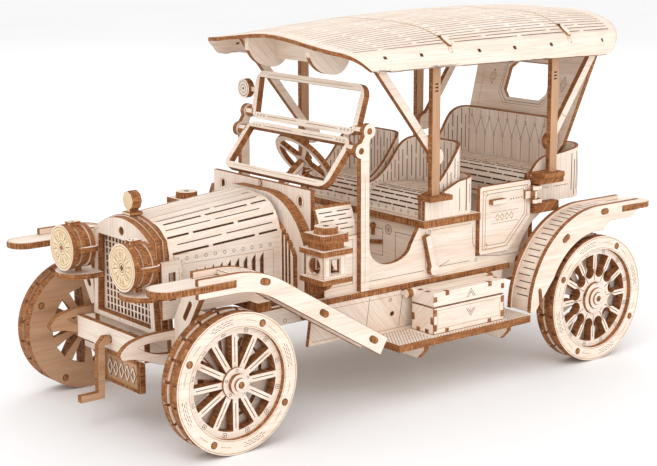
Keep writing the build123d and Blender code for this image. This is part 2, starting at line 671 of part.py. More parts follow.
with BuildPart() as headlamp_brackets:
    with BuildSketch(Plane.XY.offset(67.0)):
        with Locations((RADIATOR_X + 3.0, LAMP_Y + 2.0)):
            Rectangle(6.0, 23.4)
        with Locations((RADIATOR_X + 6.0, LAMP_Y + 2.0)):
            Circle(11.7)
        with Locations((RADIATOR_X - 20.0, LAMP_Y + 2.0)):
            Rectangle(40.0, 40.0, mode=Mode.SUBTRACT)
    extrude(amount=2.4)
    mirror(about=Plane.XZ)
with BuildPart() as headlamp_set:
    add(headlamps.part)
    add(headlamp_brackets.part)
save(headlamp_set, "headlamps")

LANTERN_X = 58.6
LANTERN_Y = 57.8
LANTERN_SIDE = 13.5
LOWER_PLATE_Z = 67.5
UPPER_PLATE_Z = 80.9
# stacked plates: underside height, thickness, width
LANTERN_PLATES = ((LOWER_PLATE_Z, 2.5, 17.8), (UPPER_PLATE_Z, 2.5, 17.8), (83.4, 3.0, 12.0),
                  (86.4, 4.0, 15.0))
with BuildPart() as lanterns:
    for z, thick, width in LANTERN_PLATES:
        with BuildSketch(Plane.XY.offset(z)):
            with Locations((LANTERN_X, LANTERN_Y)):
                Rectangle(width, width)
        extrude(amount=thick)
    with BuildSketch(Plane.XY.offset(LOWER_PLATE_Z + 2.5)):
        with Locations((LANTERN_X, LANTERN_Y)):
            Rectangle(LANTERN_SIDE, LANTERN_SIDE)
            Rectangle(LANTERN_SIDE - 4.0, LANTERN_SIDE - 4.0, mode=Mode.SUBTRACT)
    extrude(amount=UPPER_PLATE_Z - LOWER_PLATE_Z - 2.5)
    with BuildSketch(Plane.YZ.offset(LANTERN_X - LANTERN_SIDE)):
        with Locations((LANTERN_Y, 75.4)):
            Circle(3.9)
    extrude(amount=2 * LANTERN_SIDE, mode=Mode.SUBTRACT)
    with BuildSketch(side_plane(LANTERN_Y + LANTERN_SIDE)):
        with Locations((LANTERN_X, 75.4)):
            Rectangle(5.0, 6.4)
    extrude(amount=2 * LANTERN_SIDE, mode=Mode.SUBTRACT)
    with BuildSketch(Plane.XY.offset(90.4)):
        with Locations((LANTERN_X, LANTERN_Y)):
            Circle(5.6)
    extrude(amount=3.2)
    with BuildSketch(Plane.YZ.offset(55.5)):
        add(outline(((42.5, 57.2), (48.0, 58.5), (57.0, 63.0), (61.0, LOWER_PLATE_Z),
                     (42.5, LOWER_PLATE_Z))))
    extrude(amount=PLY)
    mirror(about=Plane.XZ)
save(lanterns, "lanterns")

# ---------------------------------------------------------------- roof
def underside(crown):
    """Points of the roof's underside, from the left edge to the right."""
    half = ((ROOF_HALF_WIDTH - 1.9, ROOF_EDGE_Z - 0.7), (57.0, 168.8), (45.4, crown - 6.3))
    return (*half, (0, crown - 2.0), *((-y, z) for y, z in reversed(half)))


def roof_section(x, crown):
    """A thin slice of the roof across the car: nearly flat, turning down near each side."""
    half = ((ROOF_HALF_WIDTH, ROOF_EDGE_Z), (58.6, 170.2), (46.0, crown - 4.4))
    with BuildSketch(Plane.YZ.offset(x)) as section:
        with BuildLine():
            top = Spline(*half, (0, crown), *((-y, z) for y, z in reversed(half)))
            under = Spline(*underside(crown))
            Line(top @ 0, under @ 0)
            Line(top @ 1, under @ 1)
        make_face()
    return section.sketch


def space_section(x, crown):
    """The space below the roof, down to seat height."""
    with BuildSketch(Plane.YZ.offset(x)) as section:
        with BuildLine():
            under = Spline(*underside(crown))
            Polyline(under @ 0, (ROOF_HALF_WIDTH - 1.9, 75.0), (1.9 - ROOF_HALF_WIDTH, 75.0), under @ 1)
        make_face()
    return section.sketch


ROOF_TOP_Z = 185.0  # clear above the whole roof
ROOF_CROWNS = ((ROOF_FRONT_X, 177.6), (5.0, 180.4), (ROOF_REAR_X, 182.6))
with BuildPart() as roof_sheet:
    loft([roof_section(x, crown) for x, crown in ROOF_CROWNS])
    with BuildSketch(Plane.XY.offset(150)):
        with Locations(((ROOF_FRONT_X + ROOF_REAR_X) / 2, 0)):
            RectangleRounded(ROOF_FRONT_X - ROOF_REAR_X, 2 * ROOF_HALF_WIDTH, 17.0)
    extrude(amount=50, mode=Mode.INTERSECT)
save(roof_sheet, "roof_sheet")

with BuildPart() as under_roof:
    loft([space_section(x, crown) for x, crown in ROOF_CROWNS])

with BuildPart() as roof_formers:
    for x in (B_POST_X - PLY / 2, C_POST_X - PLY / 2):
        with BuildSketch(Plane.YZ.offset(x)):
            add(outline(((-50.4, 162.0), (50.4, 162.0), (50.4, ROOF_TOP_Z), (-50.4, ROOF_TOP_Z))))
            with BuildLine():
                ThreePointArc((-47.0, 161.0), (0, 174.0), (47.0, 161.0))
                Line((-47.0, 161.0), (47.0, 161.0))
            make_face(mode=Mode.SUBTRACT)
        extrude(amount=PLY)
    # two brackets with a round lobe, and a cross strip between them
    for y in (26.0, PLY - 26.0):
        with BuildSketch(side_plane(y)):
            with BuildLine():
                ThreePointArc((43.0, 169.0), (38.0, 162.0), (30.0, 159.0))
                ThreePointArc((30.0, 159.0), (21.0, 161.0), (18.0, 170.0))
                Polyline((18.0, 170.0), (18.0, ROOF_TOP_Z), (43.0, ROOF_TOP_Z), (43.0, 169.0))
            make_face()
        extrude(amount=PLY)
    with BuildSketch(Plane.YZ.offset(24.0)):
        with Locations((0, 174.0)):
            Rectangle(46.0, 22.0)
    extrude(amount=SHEET)
    add(under_roof.part, mode=Mode.INTERSECT)
    add(roof_sheet.part, mode=Mode.SUBTRACT)
save(roof_formers, "roof_formers")

# ---------------------------------------------------------------- roof posts, braces and rear wall
POST_WIDTH = 5.4
POST_FOOT_Z = 98.5
REAR_BLOCK_TOP = 99.0
with BuildPart() as roof_posts:
    for x, foot_z, shift in ((B_POST_X, POST_FOOT_Z, -1.0), (C_POST_X, REAR_BLOCK_TOP + 2.5, 2.0)):
        with BuildSketch(side_plane(POST_Y)):
            with Locations((x, (foot_z + ROOF_TOP_Z) / 2)):
                Rectangle(POST_WIDTH, ROOF_TOP_Z - foot_z)
        extrude(amount=PLY)
        with BuildSketch(Plane.XY.offset(foot_z - 2.5)):
            with Locations((x + shift, BODY_Y + 5.0)):
                Rectangle(15.0, 10.0)
        extrude(amount=2.5)
    # blocks on the side of the rear tub, above and below the door hinge
    for bottom, top, front_x, depth in ((95.6, REAR_BLOCK_TOP, -86.2, 8.0), (80.0, 85.2, -86.4, 5.0)):
        with BuildSketch(Plane.XY.offset(bottom)):
            with Locations(((front_x - 104.0) / 2, BODY_Y + depth / 2)):
                Rectangle(front_x + 104.0, depth)
        extrude(amount=top - bottom)
    add(under_roof.part, mode=Mode.INTERSECT)
    add(roof_sheet.part, mode=Mode.SUBTRACT)
    mirror(about=Plane.XZ)
save(roof_posts, "roof_posts")


def brace(top, foot, width, outer_y):
    """A straight stay in the plane of the posts."""
    length = sqrt((top[0] - foot[0]) ** 2 + (top[1] - foot[1]) ** 2)
    lean = degrees(asin((top[1] - foot[1]) / length)) * (1 if top[0] > foot[0] else -1)
    with BuildSketch(side_plane(outer_y)) as stay:
        with Locations(Location(((top[0] + foot[0]) / 2, (top[1] + foot[1]) / 2), lean)):
            Rectangle(length, width)
    extrude(stay.sketch, amount=PLY)


with BuildPart() as roof_braces:
    brace((29.0, 174.0), (-15.5, 119.0), 4.4, POST_Y - PLY)
    brace((-137.0, 172.0), (-99.0, 118.0), 4.4, POST_Y - PLY)
    with BuildSketch(side_plane(POST_Y - PLY)):
        with Locations((-17.4, 117.0), (-98.6, 117.0)):
            Circle(4.6)
    extrude(amount=PLY)
    add(under_roof.part, mode=Mode.INTERSECT)
    mirror(about=Plane.XZ)
save(roof_braces, "roof_braces")

WALL_FOOT = (-117.9, 104.0)
WALL_LEAN = 20.0  # degrees back from upright
with BuildPart() as rear_wall:
    board = Plane(origin=(WALL_FOOT[0], 0, WALL_FOOT[1]), x_dir=(0, 1, 0),
                  z_dir=(cos(radians(WALL_LEAN)), 0, sin(radians(WALL_LEAN))))
    with BuildSketch(board):
        add(outline(((-34.0, 0), (34.0, 0), (38.0, 8.0), (46.0, 84.0), (-46.0, 84.0), (-38.0, 8.0))))
        with Locations((0, 40.5)):
            add(outline(((-12.0, -10.5), (12.0, -10.5), (16.0, -6.5), (16.0, 6.5), (12.0, 10.5),
                         (-12.0, 10.5), (-16.0, 6.5), (-16.0, -6.5))), mode=Mode.SUBTRACT)
    extrude(amount=-2.5)
    add(under_roof.part, mode=Mode.INTERSECT)
save(rear_wall, "rear_wall")

# ---------------------------------------------------------------- seats
SEAT_FRONT_X = -9.0
SEAT_REAR_X = DOOR_FRONT_X + 0.8  # clear of the front edge of a door as it swings
SIDE_PANEL_REAR_X = -46.3
with BuildPart() as seat_board:
    with BuildSketch(Plane.XY.offset(LEDGE_Z)):
        with Locations(((SEAT_FRONT_X + SEAT_REAR_X) / 2, 0)):
            Rectangle(SEAT_FRONT_X - SEAT_REAR_X, 2 * (BODY_Y + 4.0))
    extrude(amount=SEAT_Z - LEDGE_Z)
    for x, top in ((SEAT_FRONT_X - 6.0, LEDGE_Z), (-92.0, 84.0)):
        with BuildSketch(Plane.YZ.offset(x)):
            with Locations((0, (SILL_Z + PLY + top) / 2)):
                Rectangle(2 * (BODY_Y - 2.5), top - SILL_Z - PLY)
        extrude(amount=PLY)
save(seat_board, "seat_board")


def tub(front_x, back_x, centre_y, half, bottom, top, corner, rim):
    """A seat shell bent round two corners; `rim` is the line of its upper edge, seen from the side."""
    with BuildPart() as shell:
        with BuildSketch(Plane.XY.offset(bottom)):
            with BuildLine():
                FilletPolyline((front_x, centre_y - half), (back_x, centre_y - half),
                               (back_x, centre_y + half), (front_x, centre_y + half), radius=corner)
            trace(line_width=SHEET)
        extrude(amount=top - bottom)
        with BuildSketch(Plane.XZ):
            with BuildLine():
                edge = Spline(*rim)
                Polyline(edge @ 1, (back_x - 5, rim[-1][1]), (back_x - 5, top + 5), (front_x + 5, top + 5),
                         (front_x + 5, rim[0][1]), edge @ 0)
            make_face()
        extrude(amount=80, both=True, mode=Mode.SUBTRACT)
    return shell


TUB_Y = 23.6
front_rim = ((-11.0, 98.0), (-20.0, 100.5), (-30.0, 110.0), (-37.0, 118.0), (-46.0, 121.0))
with BuildPart() as front_seats:
    add(tub(-11.0, -43.4, TUB_Y, 21.2, SEAT_Z, 122.0, 11.0, front_rim).part)
    mirror(about=Plane.XZ)

with BuildPart() as seat_side_panels:
    with BuildSketch(Plane.XY.offset(SEAT_Z)):
        with BuildLine():
            FilletPolyline((SEAT_FRONT_X - 1.0, BODY_Y + 2.0), (SIDE_PANEL_REAR_X, BODY_Y + 2.0),
                           (SIDE_PANEL_REAR_X, 37.0), radius=9.0)
        trace(line_width=SHEET)
    extrude(amount=19.0)
    with BuildSketch(side_plane(BODY_Y + 5)):
        add(outline(((SEAT_FRONT_X + 2, 95.5), (SEAT_FRONT_X - 14, 95.5), (SEAT_FRONT_X - 14, 99.0),
                     (-33.0, 103.0), (-50.0, 105.0), (SEAT_FRONT_X + 2, 105.0))))
    extrude(amount=30, mode=Mode.SUBTRACT)
    mirror(about=Plane.XZ)
with BuildPart() as seat_shells:
    add(front_seats.part)
    add(seat_side_panels.part)
save(seat_shells, "front_seats")

rear_rim = ((-88.0, 100.0), (-99.0, 104.0), (-107.0, 113.0), (-112.0, 122.0), (-119.0, 126.4))
with BuildPart() as rear_seat:
    add(tub(-88.0, -117.5, 0, 42.6, 86.0, 128.0, 12.0, rear_rim).part)
    add(rear_wall.part, mode=Mode.SUBTRACT)
save(rear_seat, "rear_seat")


def cushion(front_x, back_x, half, bottom, top, centre_y, corner):
    """A seat cushion whose board is bent over its front edge, with round rear corners in plan."""
    bend = top - bottom - 4.5
    straight = front_x - back_x - corner
    with BuildPart() as block:
        with BuildSketch(side_plane(centre_y + half)):
            with BuildLine():
                Polyline((front_x, bottom + 4.5), (front_x, bottom), (back_x, bottom), (back_x, top),
                         (front_x - bend, top))
                ThreePointArc((front_x - bend, top), (front_x - 0.3 * bend, top - 0.3 * bend),
                              (front_x, bottom + 4.5))
            make_face()
        extrude(amount=2 * half)
        with BuildSketch(Plane.XY.offset(bottom)):
            with Locations(((front_x + back_x) / 2, centre_y)):
                RectangleRounded(front_x - back_x, 2 * half, corner)
            with Locations((front_x - straight / 2, centre_y)):
                Rectangle(straight, 2 * half)
        extrude(amount=top - bottom, mode=Mode.INTERSECT)
    return block


with BuildPart() as seat_cushions:
    for y in (TUB_Y, -TUB_Y):
        add(cushion(-12.6, -41.6, 19.6, SEAT_Z, 97.0, y, 12.0).part)
    add(cushion(-89.2, -115.8, 41.0, 86.0, 99.5, 0, 13.0).part)
save(seat_cushions, "seat_cushions")

# ---------------------------------------------------------------- rear tub and doors
HINGE_X = -85.0
HINGE_Y = 52.0
HINGE_R = 1.0
EYE_R = 2.2
tub_rim = ((-85.6, 95.5), (-89.0, 102.5), (-96.7, 108.2), (-106.0, 108.8), (-116.0, 109.8), (-131.0, 112.4))
rear_shell = tub(-85.6, -129.0, 0, BODY_Y - 1.0, 84.0, 113.0, 10.0, tub_rim)
with BuildPart() as rear_tub:
    add(rear_shell.part)
    for z in (86.0, 93.0):
        with BuildSketch(Plane.XY.offset(z)):
            for side in (-1, 1):
                with Locations((HINGE_X - 2.6, side * (BODY_Y + HINGE_Y) / 2)):
                    Rectangle(4.0, HINGE_Y - BODY_Y)
                with Locations((HINGE_X, side * HINGE_Y)):
                    Circle(EYE_R)
                    Circle(HINGE_R + RUN, mode=Mode.SUBTRACT)
                with Locations((HINGE_X - 2.6, side * HINGE_Y)):
                    Rectangle(2.6, 3.6)
        extrude(amount=2.0)
    with BuildSketch(Plane.XY.offset(80)):
        with Locations((HINGE_X, HINGE_Y), (HINGE_X, -HINGE_Y)):
            Circle(HINGE_R + RUN)
    extrude(amount=20, mode=Mode.SUBTRACT)
    with BuildSketch(Plane.XY.offset(84.0)):
        with Locations((-107.5, 0)):
            RectangleRounded(42.0, 2 * (BODY_Y - 2.0) + 0.4, 9.0)
    extrude(amount=2.0)
    add(rear_wall.part, mode=Mode.SUBTRACT)
save(rear_tub, "rear_tub")

DOOR_OUT_Y = BODY_Y + 2.4
with BuildPart() as rear_door:
    with BuildSketch(side_plane(DOOR_OUT_Y)):
        add(outline(((DOOR_FRONT_X, 62.6), (-69.2, 62.6), (DOOR_REAR_X, 78.6), (DOOR_REAR_X, DOOR_TOP_Z),
                     (DOOR_FRONT_X, DOOR_TOP_Z))))
        fillet(vertices(), radius=1.6)
    extrude(amount=2.6)
    with BuildSketch(side_plane(DOOR_OUT_Y + 3.0)):
        with Locations((-59.6, 89.6)):
            Rectangle(9.5, 2.4)
    extrude(amount=3.0)
    with BuildSketch(Plane.XY.offset(88.4)):
        with Locations((HINGE_X, HINGE_Y)):
            Circle(1.7)
        with Locations((HINGE_X + 2.6, DOOR_OUT_Y + 0.7)):
            Rectangle(5.2, 1.4)
    extrude(amount=4.2)
    with BuildSketch(Plane.XY.offset(86.2)):
        with Locations((HINGE_X, HINGE_Y)):
            Circle(HINGE_R)
    extrude(amount=8.6)
save_pair(rear_door, "rear_door")

# ---------------------------------------------------------------- windscreen
LOWER_PIN = (30.7, 124.7)
UPPER_PIN = (25.6, 133.7)
PIN_R = 1.4
SCREEN_HALF = 42.2
FRAME_BAR = 3.4
FRAME_DEPTH = 3.4

with BuildPart() as windscreen_posts:
    with BuildSketch(side_plane(BODY_Y + PLY)):
        with Locations((A_POST_X, 90.0)):
            Rectangle(POST_WIDTH, 68.0)
        add(outline(((A_POST_X - 2.7, 120.0), (A_POST_X + 2.7, 120.0), (A_POST_X + 2.7, 128.0),
                     (UPPER_PIN[0] + 1.6, 134.0), (UPPER_PIN[0] - 1.6, 133.0), (A_POST_X - 2.7, 128.0))))
        with Locations(LOWER_PIN, UPPER_PIN):
            Circle(3.7)
        with Locations(LOWER_PIN, UPPER_PIN):
            Circle(PIN_R + RUN, mode=Mode.SUBTRACT)
    extrude(amount=PLY)
    mirror(about=Plane.XZ)
save(windscreen_posts, "windscreen_posts")


def screen_frame(foot, head, pin, half_foot, half_head):
    """A flat window frame between two heights, with a pin at each side."""
    run = (head[0] - foot[0], head[1] - foot[1])
    length = sqrt(run[0] ** 2 + run[1] ** 2)
    up = (run[0] / length, run[1] / length)
    face = Plane(origin=(foot[0], 0, foot[1]), x_dir=(0, 1, 0), z_dir=(up[1], 0, -up[0]))
    with BuildPart() as frame:
        with BuildSketch(face):
            add(outline(((-half_foot, 0), (half_foot, 0), (half_head, length), (-half_head, length))))
            fillet(vertices(), radius=6.0)
            with Locations((0, length / 2)):
                add(outline(((FRAME_BAR - half_foot, FRAME_BAR - length / 2),
                             (half_foot - FRAME_BAR, FRAME_BAR - length / 2),
                             (half_head - FRAME_BAR, length / 2 - FRAME_BAR),
                             (FRAME_BAR - half_head, length / 2 - FRAME_BAR))), mode=Mode.SUBTRACT)
        extrude(amount=-FRAME_DEPTH)
        with BuildSketch(side_plane(BODY_Y + PLY)):
            with Locations(pin):
                Circle(PIN_R)
        extrude(amount=BODY_Y + PLY - SCREEN_HALF + 1.5)
        with BuildSketch(side_plane(BODY_Y - GAP)):
            with Locations(pin):
                Circle(2.6)
        extrude(amount=BODY_Y - GAP - SCREEN_HALF + 0.8)
        with BuildSketch(side_plane(-SCREEN_HALF + 1.5)):
            with Locations(pin):
                Circle(PIN_R)
        extrude(amount=BODY_Y + PLY - SCREEN_HALF + 1.5)
        with BuildSketch(side_plane(-SCREEN_HALF + 0.8)):
            with Locations(pin):
                Circle(2.6)
        extrude(amount=BODY_Y - GAP - SCREEN_HALF + 0.8)
    return frame


lower_frame = screen_frame((46.9, 107.9), (29.3, 129.8), LOWER_PIN, 42.2, 42.2)
save(lower_frame, "windscreen_lower_frame")
upper_frame = screen_frame((28.3, 131.0), (22.4, 155.1), UPPER_PIN, 42.2, 44.0)
MIRROR_Z = 144.8
with BuildPart() as windscreen_upper_frame:
    add(upper_frame.part)
    with BuildSketch(Plane.YZ.offset(21.4)):
        with Locations((-46.2, MIRROR_Z)):
            Rectangle(6.4, 2.4)
    extrude(amount=2.0)
    with BuildSketch(Plane.YZ.offset(21.4)):
        with Locations((-53.0, MIRROR_Z)):
            Circle(5.0)
    extrude(amount=3.6)
save(windscreen_upper_frame, "windscreen_upper_frame")

# ---------------------------------------------------------------- steering wheel and column
WHEEL_Y = -TUB_Y
WHEEL_CENTRE = (8.0, 109.0)
COLUMN_DROP = 38.0  # degrees below level
column_dir = (cos(radians(COLUMN_DROP)), 0, -sin(radians(COLUMN_DROP)))
with BuildPart() as steering_wheel:
    disc = Plane(origin=(WHEEL_CENTRE[0], WHEEL_Y, WHEEL_CENTRE[1]), x_dir=(0, 1, 0), z_dir=column_dir)
    with BuildSketch(disc.offset(-1.4)):
        Circle(18.0)
        Circle(14.8, mode=Mode.SUBTRACT)
        Circle(4.6)
        with PolarLocations(8.5, 4, start_angle=45):
            Rectangle(14.0, 2.6)
    extrude(amount=2.8)
    with BuildSketch(disc.offset(-3.4)):
        Circle(2.8)
    extrude(amount=3.0)
    with BuildSketch(disc.offset(1.0)):
        Circle(1.2)
    extrude(amount=7.5)
save(steering_wheel, "steering_wheel")

with BuildPart() as steering_column:
    with BuildSketch(disc.offset(2.0)):
        Circle(2.4)
    extrude(amount=70)
    with BuildSketch(disc.offset(1.0)):
        Circle(1.2 + RUN)
    extrude(amount=8.0, mode=Mode.SUBTRACT)
    with BuildSketch(Plane.YZ.offset(SCUTTLE_X)):
        with Locations((WHEEL_Y, 70)):
            Rectangle(60, 60)
    extrude(amount=40, mode=Mode.SUBTRACT)
save(steering_column, "steering_column")

# ---------------------------------------------------------------- brake lever, toolbox
with BuildPart() as brake_lever:
    with BuildSketch(side_plane(BODY_Y + 0.4 + PLY)):
        with Locations(LEVER_PIVOT):
            Circle(3.0)
        add(outline(((-18.6, 61.0), (-15.2, 59.6), (-10.6, 77.4), (-14.0, 78.4))))
    extrude(amount=PLY)
    with BuildSketch(side_plane(BODY_Y + 0.4)):
        with Locations(LEVER_PIVOT):
            Circle(LEVER_PIN_R)
    extrude(amount=2.6)
save(brake_lever, "brake_lever")

BOX_FRONT_X = -0.6
BOX_REAR_X = -48.6
BOX_IN_Y = 51.6
BOX_OUT_Y = 67.6
BOX_SPLIT_Z = 46.3
BOX_TOP_Z = 53.7
BOX_WALL = 2.2
LID_PIN = (52.8, 51.6)  # y, z
LID_PIN_R = 1.2
LID_EAR_R = 2.3
box_centre = ((BOX_FRONT_X + BOX_REAR_X) / 2, (BOX_IN_Y + BOX_OUT_Y) / 2)
box_size = (BOX_FRONT_X - BOX_REAR_X, BOX_OUT_Y - BOX_IN_Y)
with BuildPart() as toolbox:
    with BuildSketch(Plane.XY.offset(BOARD_Z)):
        with Locations(box_centre):
            Rectangle(*box_size)
    extrude(amount=BOX_SPLIT_Z - BOARD_Z)
    with BuildSketch(Plane.XY.offset(BOARD_Z + BOX_WALL)):
        with Locations(box_centre):
            Rectangle(box_size[0] - 2 * BOX_WALL, box_size[1] - 2 * BOX_WALL)
    extrude(amount=BOX_SPLIT_Z, mode=Mode.SUBTRACT)
save(toolbox, "toolbox")

LID_END = 1.6
with BuildPart() as toolbox_lid:
    with BuildSketch(Plane.XY.offset(BOX_SPLIT_Z + 0.5)):
        with Locations(box_centre):
            Rectangle(*box_size)
    extrude(amount=BOX_TOP_Z - BOX_SPLIT_Z - 0.5)
    with BuildSketch(Plane.XY.offset(BOX_SPLIT_Z)):
        with Locations(box_centre):
            Rectangle(box_size[0] - 2 * BOX_WALL, box_size[1] - 2 * BOX_WALL)
    extrude(amount=BOX_TOP_Z - BOX_SPLIT_Z - BOX_WALL, mode=Mode.SUBTRACT)
    for x in (BOX_FRONT_X, BOX_REAR_X - LID_END):
        with BuildSketch(Plane.YZ.offset(x)):
            with Locations(LID_PIN):
                Circle(LID_EAR_R)
                Circle(LID_PIN_R + RUN, mode=Mode.SUBTRACT)
        extrude(amount=LID_END)
    with BuildSketch(Plane.YZ.offset(BOX_REAR_X - 5)):
        with Locations(LID_PIN):
            Circle(LID_PIN_R + RUN)
    extrude(amount=60, mode=Mode.SUBTRACT)
save(toolbox_lid, "toolbox_lid")

with BuildPart() as toolbox_pins:
    with BuildSketch(Plane.YZ.offset(BOX_REAR_X - LID_END - 3.2)):
        with Locations(LID_PIN):
            Circle(LID_PIN_R)
    extrude(amount=box_size[0] + 2 * LID_END + 6.4)
    for x in (BOX_REAR_X - LID_END - 3.4, BOX_FRONT_X + LID_END + 0.4):
        with BuildSketch(Plane.YZ.offset(x)):
            with Locations(LID_PIN):
                Circle(LID_EAR_R)
            with Locations(((BODY_Y + LID_PIN[0]) / 2, LID_PIN[1])):
                Rectangle(LID_PIN[0] - BODY_Y, 2.6)
        extrude(amount=3.0)
    add(aprons.part, mode=Mode.SUBTRACT)
save(toolbox_pins, "toolbox_pins")
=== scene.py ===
import json
import math
import bmesh
import bpy
from mathutils import Matrix, Vector
from mathutils.bvhtree import BVHTree


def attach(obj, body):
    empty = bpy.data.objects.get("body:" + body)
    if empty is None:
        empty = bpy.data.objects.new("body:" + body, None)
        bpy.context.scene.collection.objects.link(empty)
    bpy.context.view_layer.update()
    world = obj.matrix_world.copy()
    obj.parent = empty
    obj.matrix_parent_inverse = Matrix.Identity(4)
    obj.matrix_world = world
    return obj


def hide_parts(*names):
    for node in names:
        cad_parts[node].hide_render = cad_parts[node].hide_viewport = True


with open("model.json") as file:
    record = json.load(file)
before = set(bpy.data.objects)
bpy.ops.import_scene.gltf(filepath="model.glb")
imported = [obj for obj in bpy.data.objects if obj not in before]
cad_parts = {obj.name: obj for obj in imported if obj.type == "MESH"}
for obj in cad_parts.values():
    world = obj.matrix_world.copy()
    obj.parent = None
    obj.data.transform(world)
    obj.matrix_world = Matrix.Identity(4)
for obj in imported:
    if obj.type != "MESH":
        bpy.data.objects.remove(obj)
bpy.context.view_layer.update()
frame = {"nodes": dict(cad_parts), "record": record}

MM = 0.001
NODES = frame["nodes"]
BODY_OF = {node: body for body, nodes in frame["record"]["behaviour"]["bodies"].items() for node in nodes}
AXES = {"X": Vector((1, 0, 0)), "Y": Vector((0, 1, 0)), "Z": Vector((0, 0, 1))}


# ---- materials
def new_material(name, roughness, specular):
    mat = bpy.data.materials.new(name)
    mat.use_nodes = True
    tree = mat.node_tree
    shader = tree.nodes["Principled BSDF"]
    shader.inputs["Roughness"].default_value = roughness
    shader.inputs["Specular IOR Level"].default_value = specular
    return mat, tree, shader


def noise(tree, vector, scale, stretch, detail, rough):
    """Noise that is stretched along the first UV direction."""
    mapping = tree.nodes.new("ShaderNodeMapping")
    mapping.inputs["Scale"].default_value = stretch
    tex = tree.nodes.new("ShaderNodeTexNoise")
    tex.inputs["Scale"].default_value = scale
    tex.inputs["Detail"].default_value = detail
    tex.inputs["Roughness"].default_value = rough
    tree.links.new(vector, mapping.inputs["Vector"])
    tree.links.new(mapping.outputs["Vector"], tex.inputs["Vector"])
    return tex.outputs["Fac"]


def ramp(tree, fac, stops):
    node = tree.nodes.new("ShaderNodeValToRGB")
    while len(node.color_ramp.elements) < len(stops):
        node.color_ramp.elements.new(0.5)
    for element, (position, colour) in zip(node.color_ramp.elements, stops):
        element.position = position
        element.color = (*colour, 1)
    tree.links.new(fac, node.inputs["Fac"])
    return node.outputs["Color"]


def multiply(tree, share, a, b):
    node = tree.nodes.new("ShaderNodeMix")
    node.data_type = "RGBA"
    node.blend_type = "MULTIPLY"
    node.inputs["Factor"].default_value = share
    tree.links.new(a, node.inputs[6])
    tree.links.new(b, node.inputs[7])
    return node.outputs[2]


def bump(tree, shader, height, strength, distance):
    node = tree.nodes.new("ShaderNodeBump")
    node.inputs["Strength"].default_value = strength
    node.inputs["Distance"].default_value = distance
    tree.links.new(height, node.inputs["Height"])
    tree.links.new(node.outputs["Normal"], shader.inputs["Normal"])


def layered(name, noises, ramps, shares, roughness, specular, bumps):
    """A surface from stretched noises: the first ramp is its colour, and the others darken it by shares.

    A noise is (stretch, detail, roughness), a ramp is (which noise, stops), and the first noise is the relief.
    """
    mat, tree, shader = new_material(name, roughness, specular)
    uv = tree.nodes.new("ShaderNodeUVMap").outputs["UV"]
    waves = [noise(tree, uv, 1.0, *row) for row in noises]
    colour, *shades = [ramp(tree, waves[which], stops) for which, stops in ramps]
    for share, shade in zip(shares, shades):
        colour = multiply(tree, share, colour, shade)
    tree.links.new(colour, shader.inputs["Base Color"])
    bump(tree, shader, waves[0], *bumps)
    return mat


def face_wood(name, pale, warm, shade):
    """The sanded face of birch plywood: fine straight grain, soft figure and a few darker pores."""
    return layered(name, (((45, 900, 1), 5.0, 0.6), ((18, 110, 1), 3.0, 0.5), ((260, 5200, 1), 2.0, 0.5)),
                   ((1, ((0.3, shade), (0.52, warm), (0.72, pale))),
                    (0, ((0.3, (0.80, 0.74, 0.68)), (0.55, (1, 1, 1)), (0.8, (1.0, 0.985, 0.96)))),
                    (2, ((0.26, (0.74, 0.66, 0.58)), (0.36, (1, 1, 1))))),
                   (0.8, 0.7), 0.62, 0.25, (0.25, 0.00012))


def edge_wood(name, dark, mid, light):
    """A laser-cut edge: scorched brown, streaked across the board, with darker glue lines."""
    return layered(name, (((1500, 160, 1), 4.0, 0.65), ((130, 320, 1), 3.0, 0.5), ((70, 2100, 1), 2.0, 0.4)),
                   ((0, ((0.28, dark), (0.5, mid), (0.74, light))),
                    (1, ((0.3, (0.62, 0.55, 0.5)), (0.6, (1, 1, 1)), (0.85, (1.0, 0.95, 0.88)))),
                    (2, ((0.36, (0.55, 0.45, 0.38)), (0.5, (1, 1, 1))))),
                   (0.85, 0.75), 0.7, 0.2, (0.35, 0.00015))


def ink(name, dark, light):
    """A line burnt into the face by the laser."""
    return layered(name, (((900, 900, 1), 3.0, 0.6),), ((0, ((0.3, dark), (0.7, light))),), (), 0.8, 0.1,
                   (0.3, 0.0001))


FACE = face_wood("birch_face", (0.91, 0.81, 0.715), (0.875, 0.75, 0.64), (0.82, 0.665, 0.545))
# The tan copy of the birch face is painted shade on faces that sit in shadow (the wheels' inner discs, the
# rails' inner sides, the crank, the roof posts); it is also the tan panel of the number plate.
TAN_AND_PAINTED_SHADE = face_wood("birch_face_tan_and_painted_shade", (0.585, 0.36, 0.22), (0.515, 0.305, 0.178), (0.42, 0.23, 0.128))
EDGE = edge_wood("scorched_edge", (0.10, 0.028, 0.009), (0.36, 0.14, 0.048), (0.66, 0.36, 0.15))
INK = ink("laser_line", (0.045, 0.018, 0.009), (0.12, 0.05, 0.022))
GOLD = ink("laser_tint", (0.36, 0.19, 0.07), (0.52, 0.31, 0.13))
GILT = face_wood("gilded_face", (0.88, 0.74, 0.50), (0.84, 0.67, 0.45), (0.76, 0.57, 0.36))
MATERIALS = (FACE, EDGE, TAN_AND_PAINTED_SHADE, INK, GOLD, GILT)
M_FACE, M_EDGE, M_TAN_AND_PAINTED_SHADE, M_INK, M_GOLD, M_GILT = range(6)


# ---- making pieces
def add_object(name, data):
    obj = bpy.data.objects.new(name, data)
    bpy.context.scene.collection.objects.link(obj)
    return obj


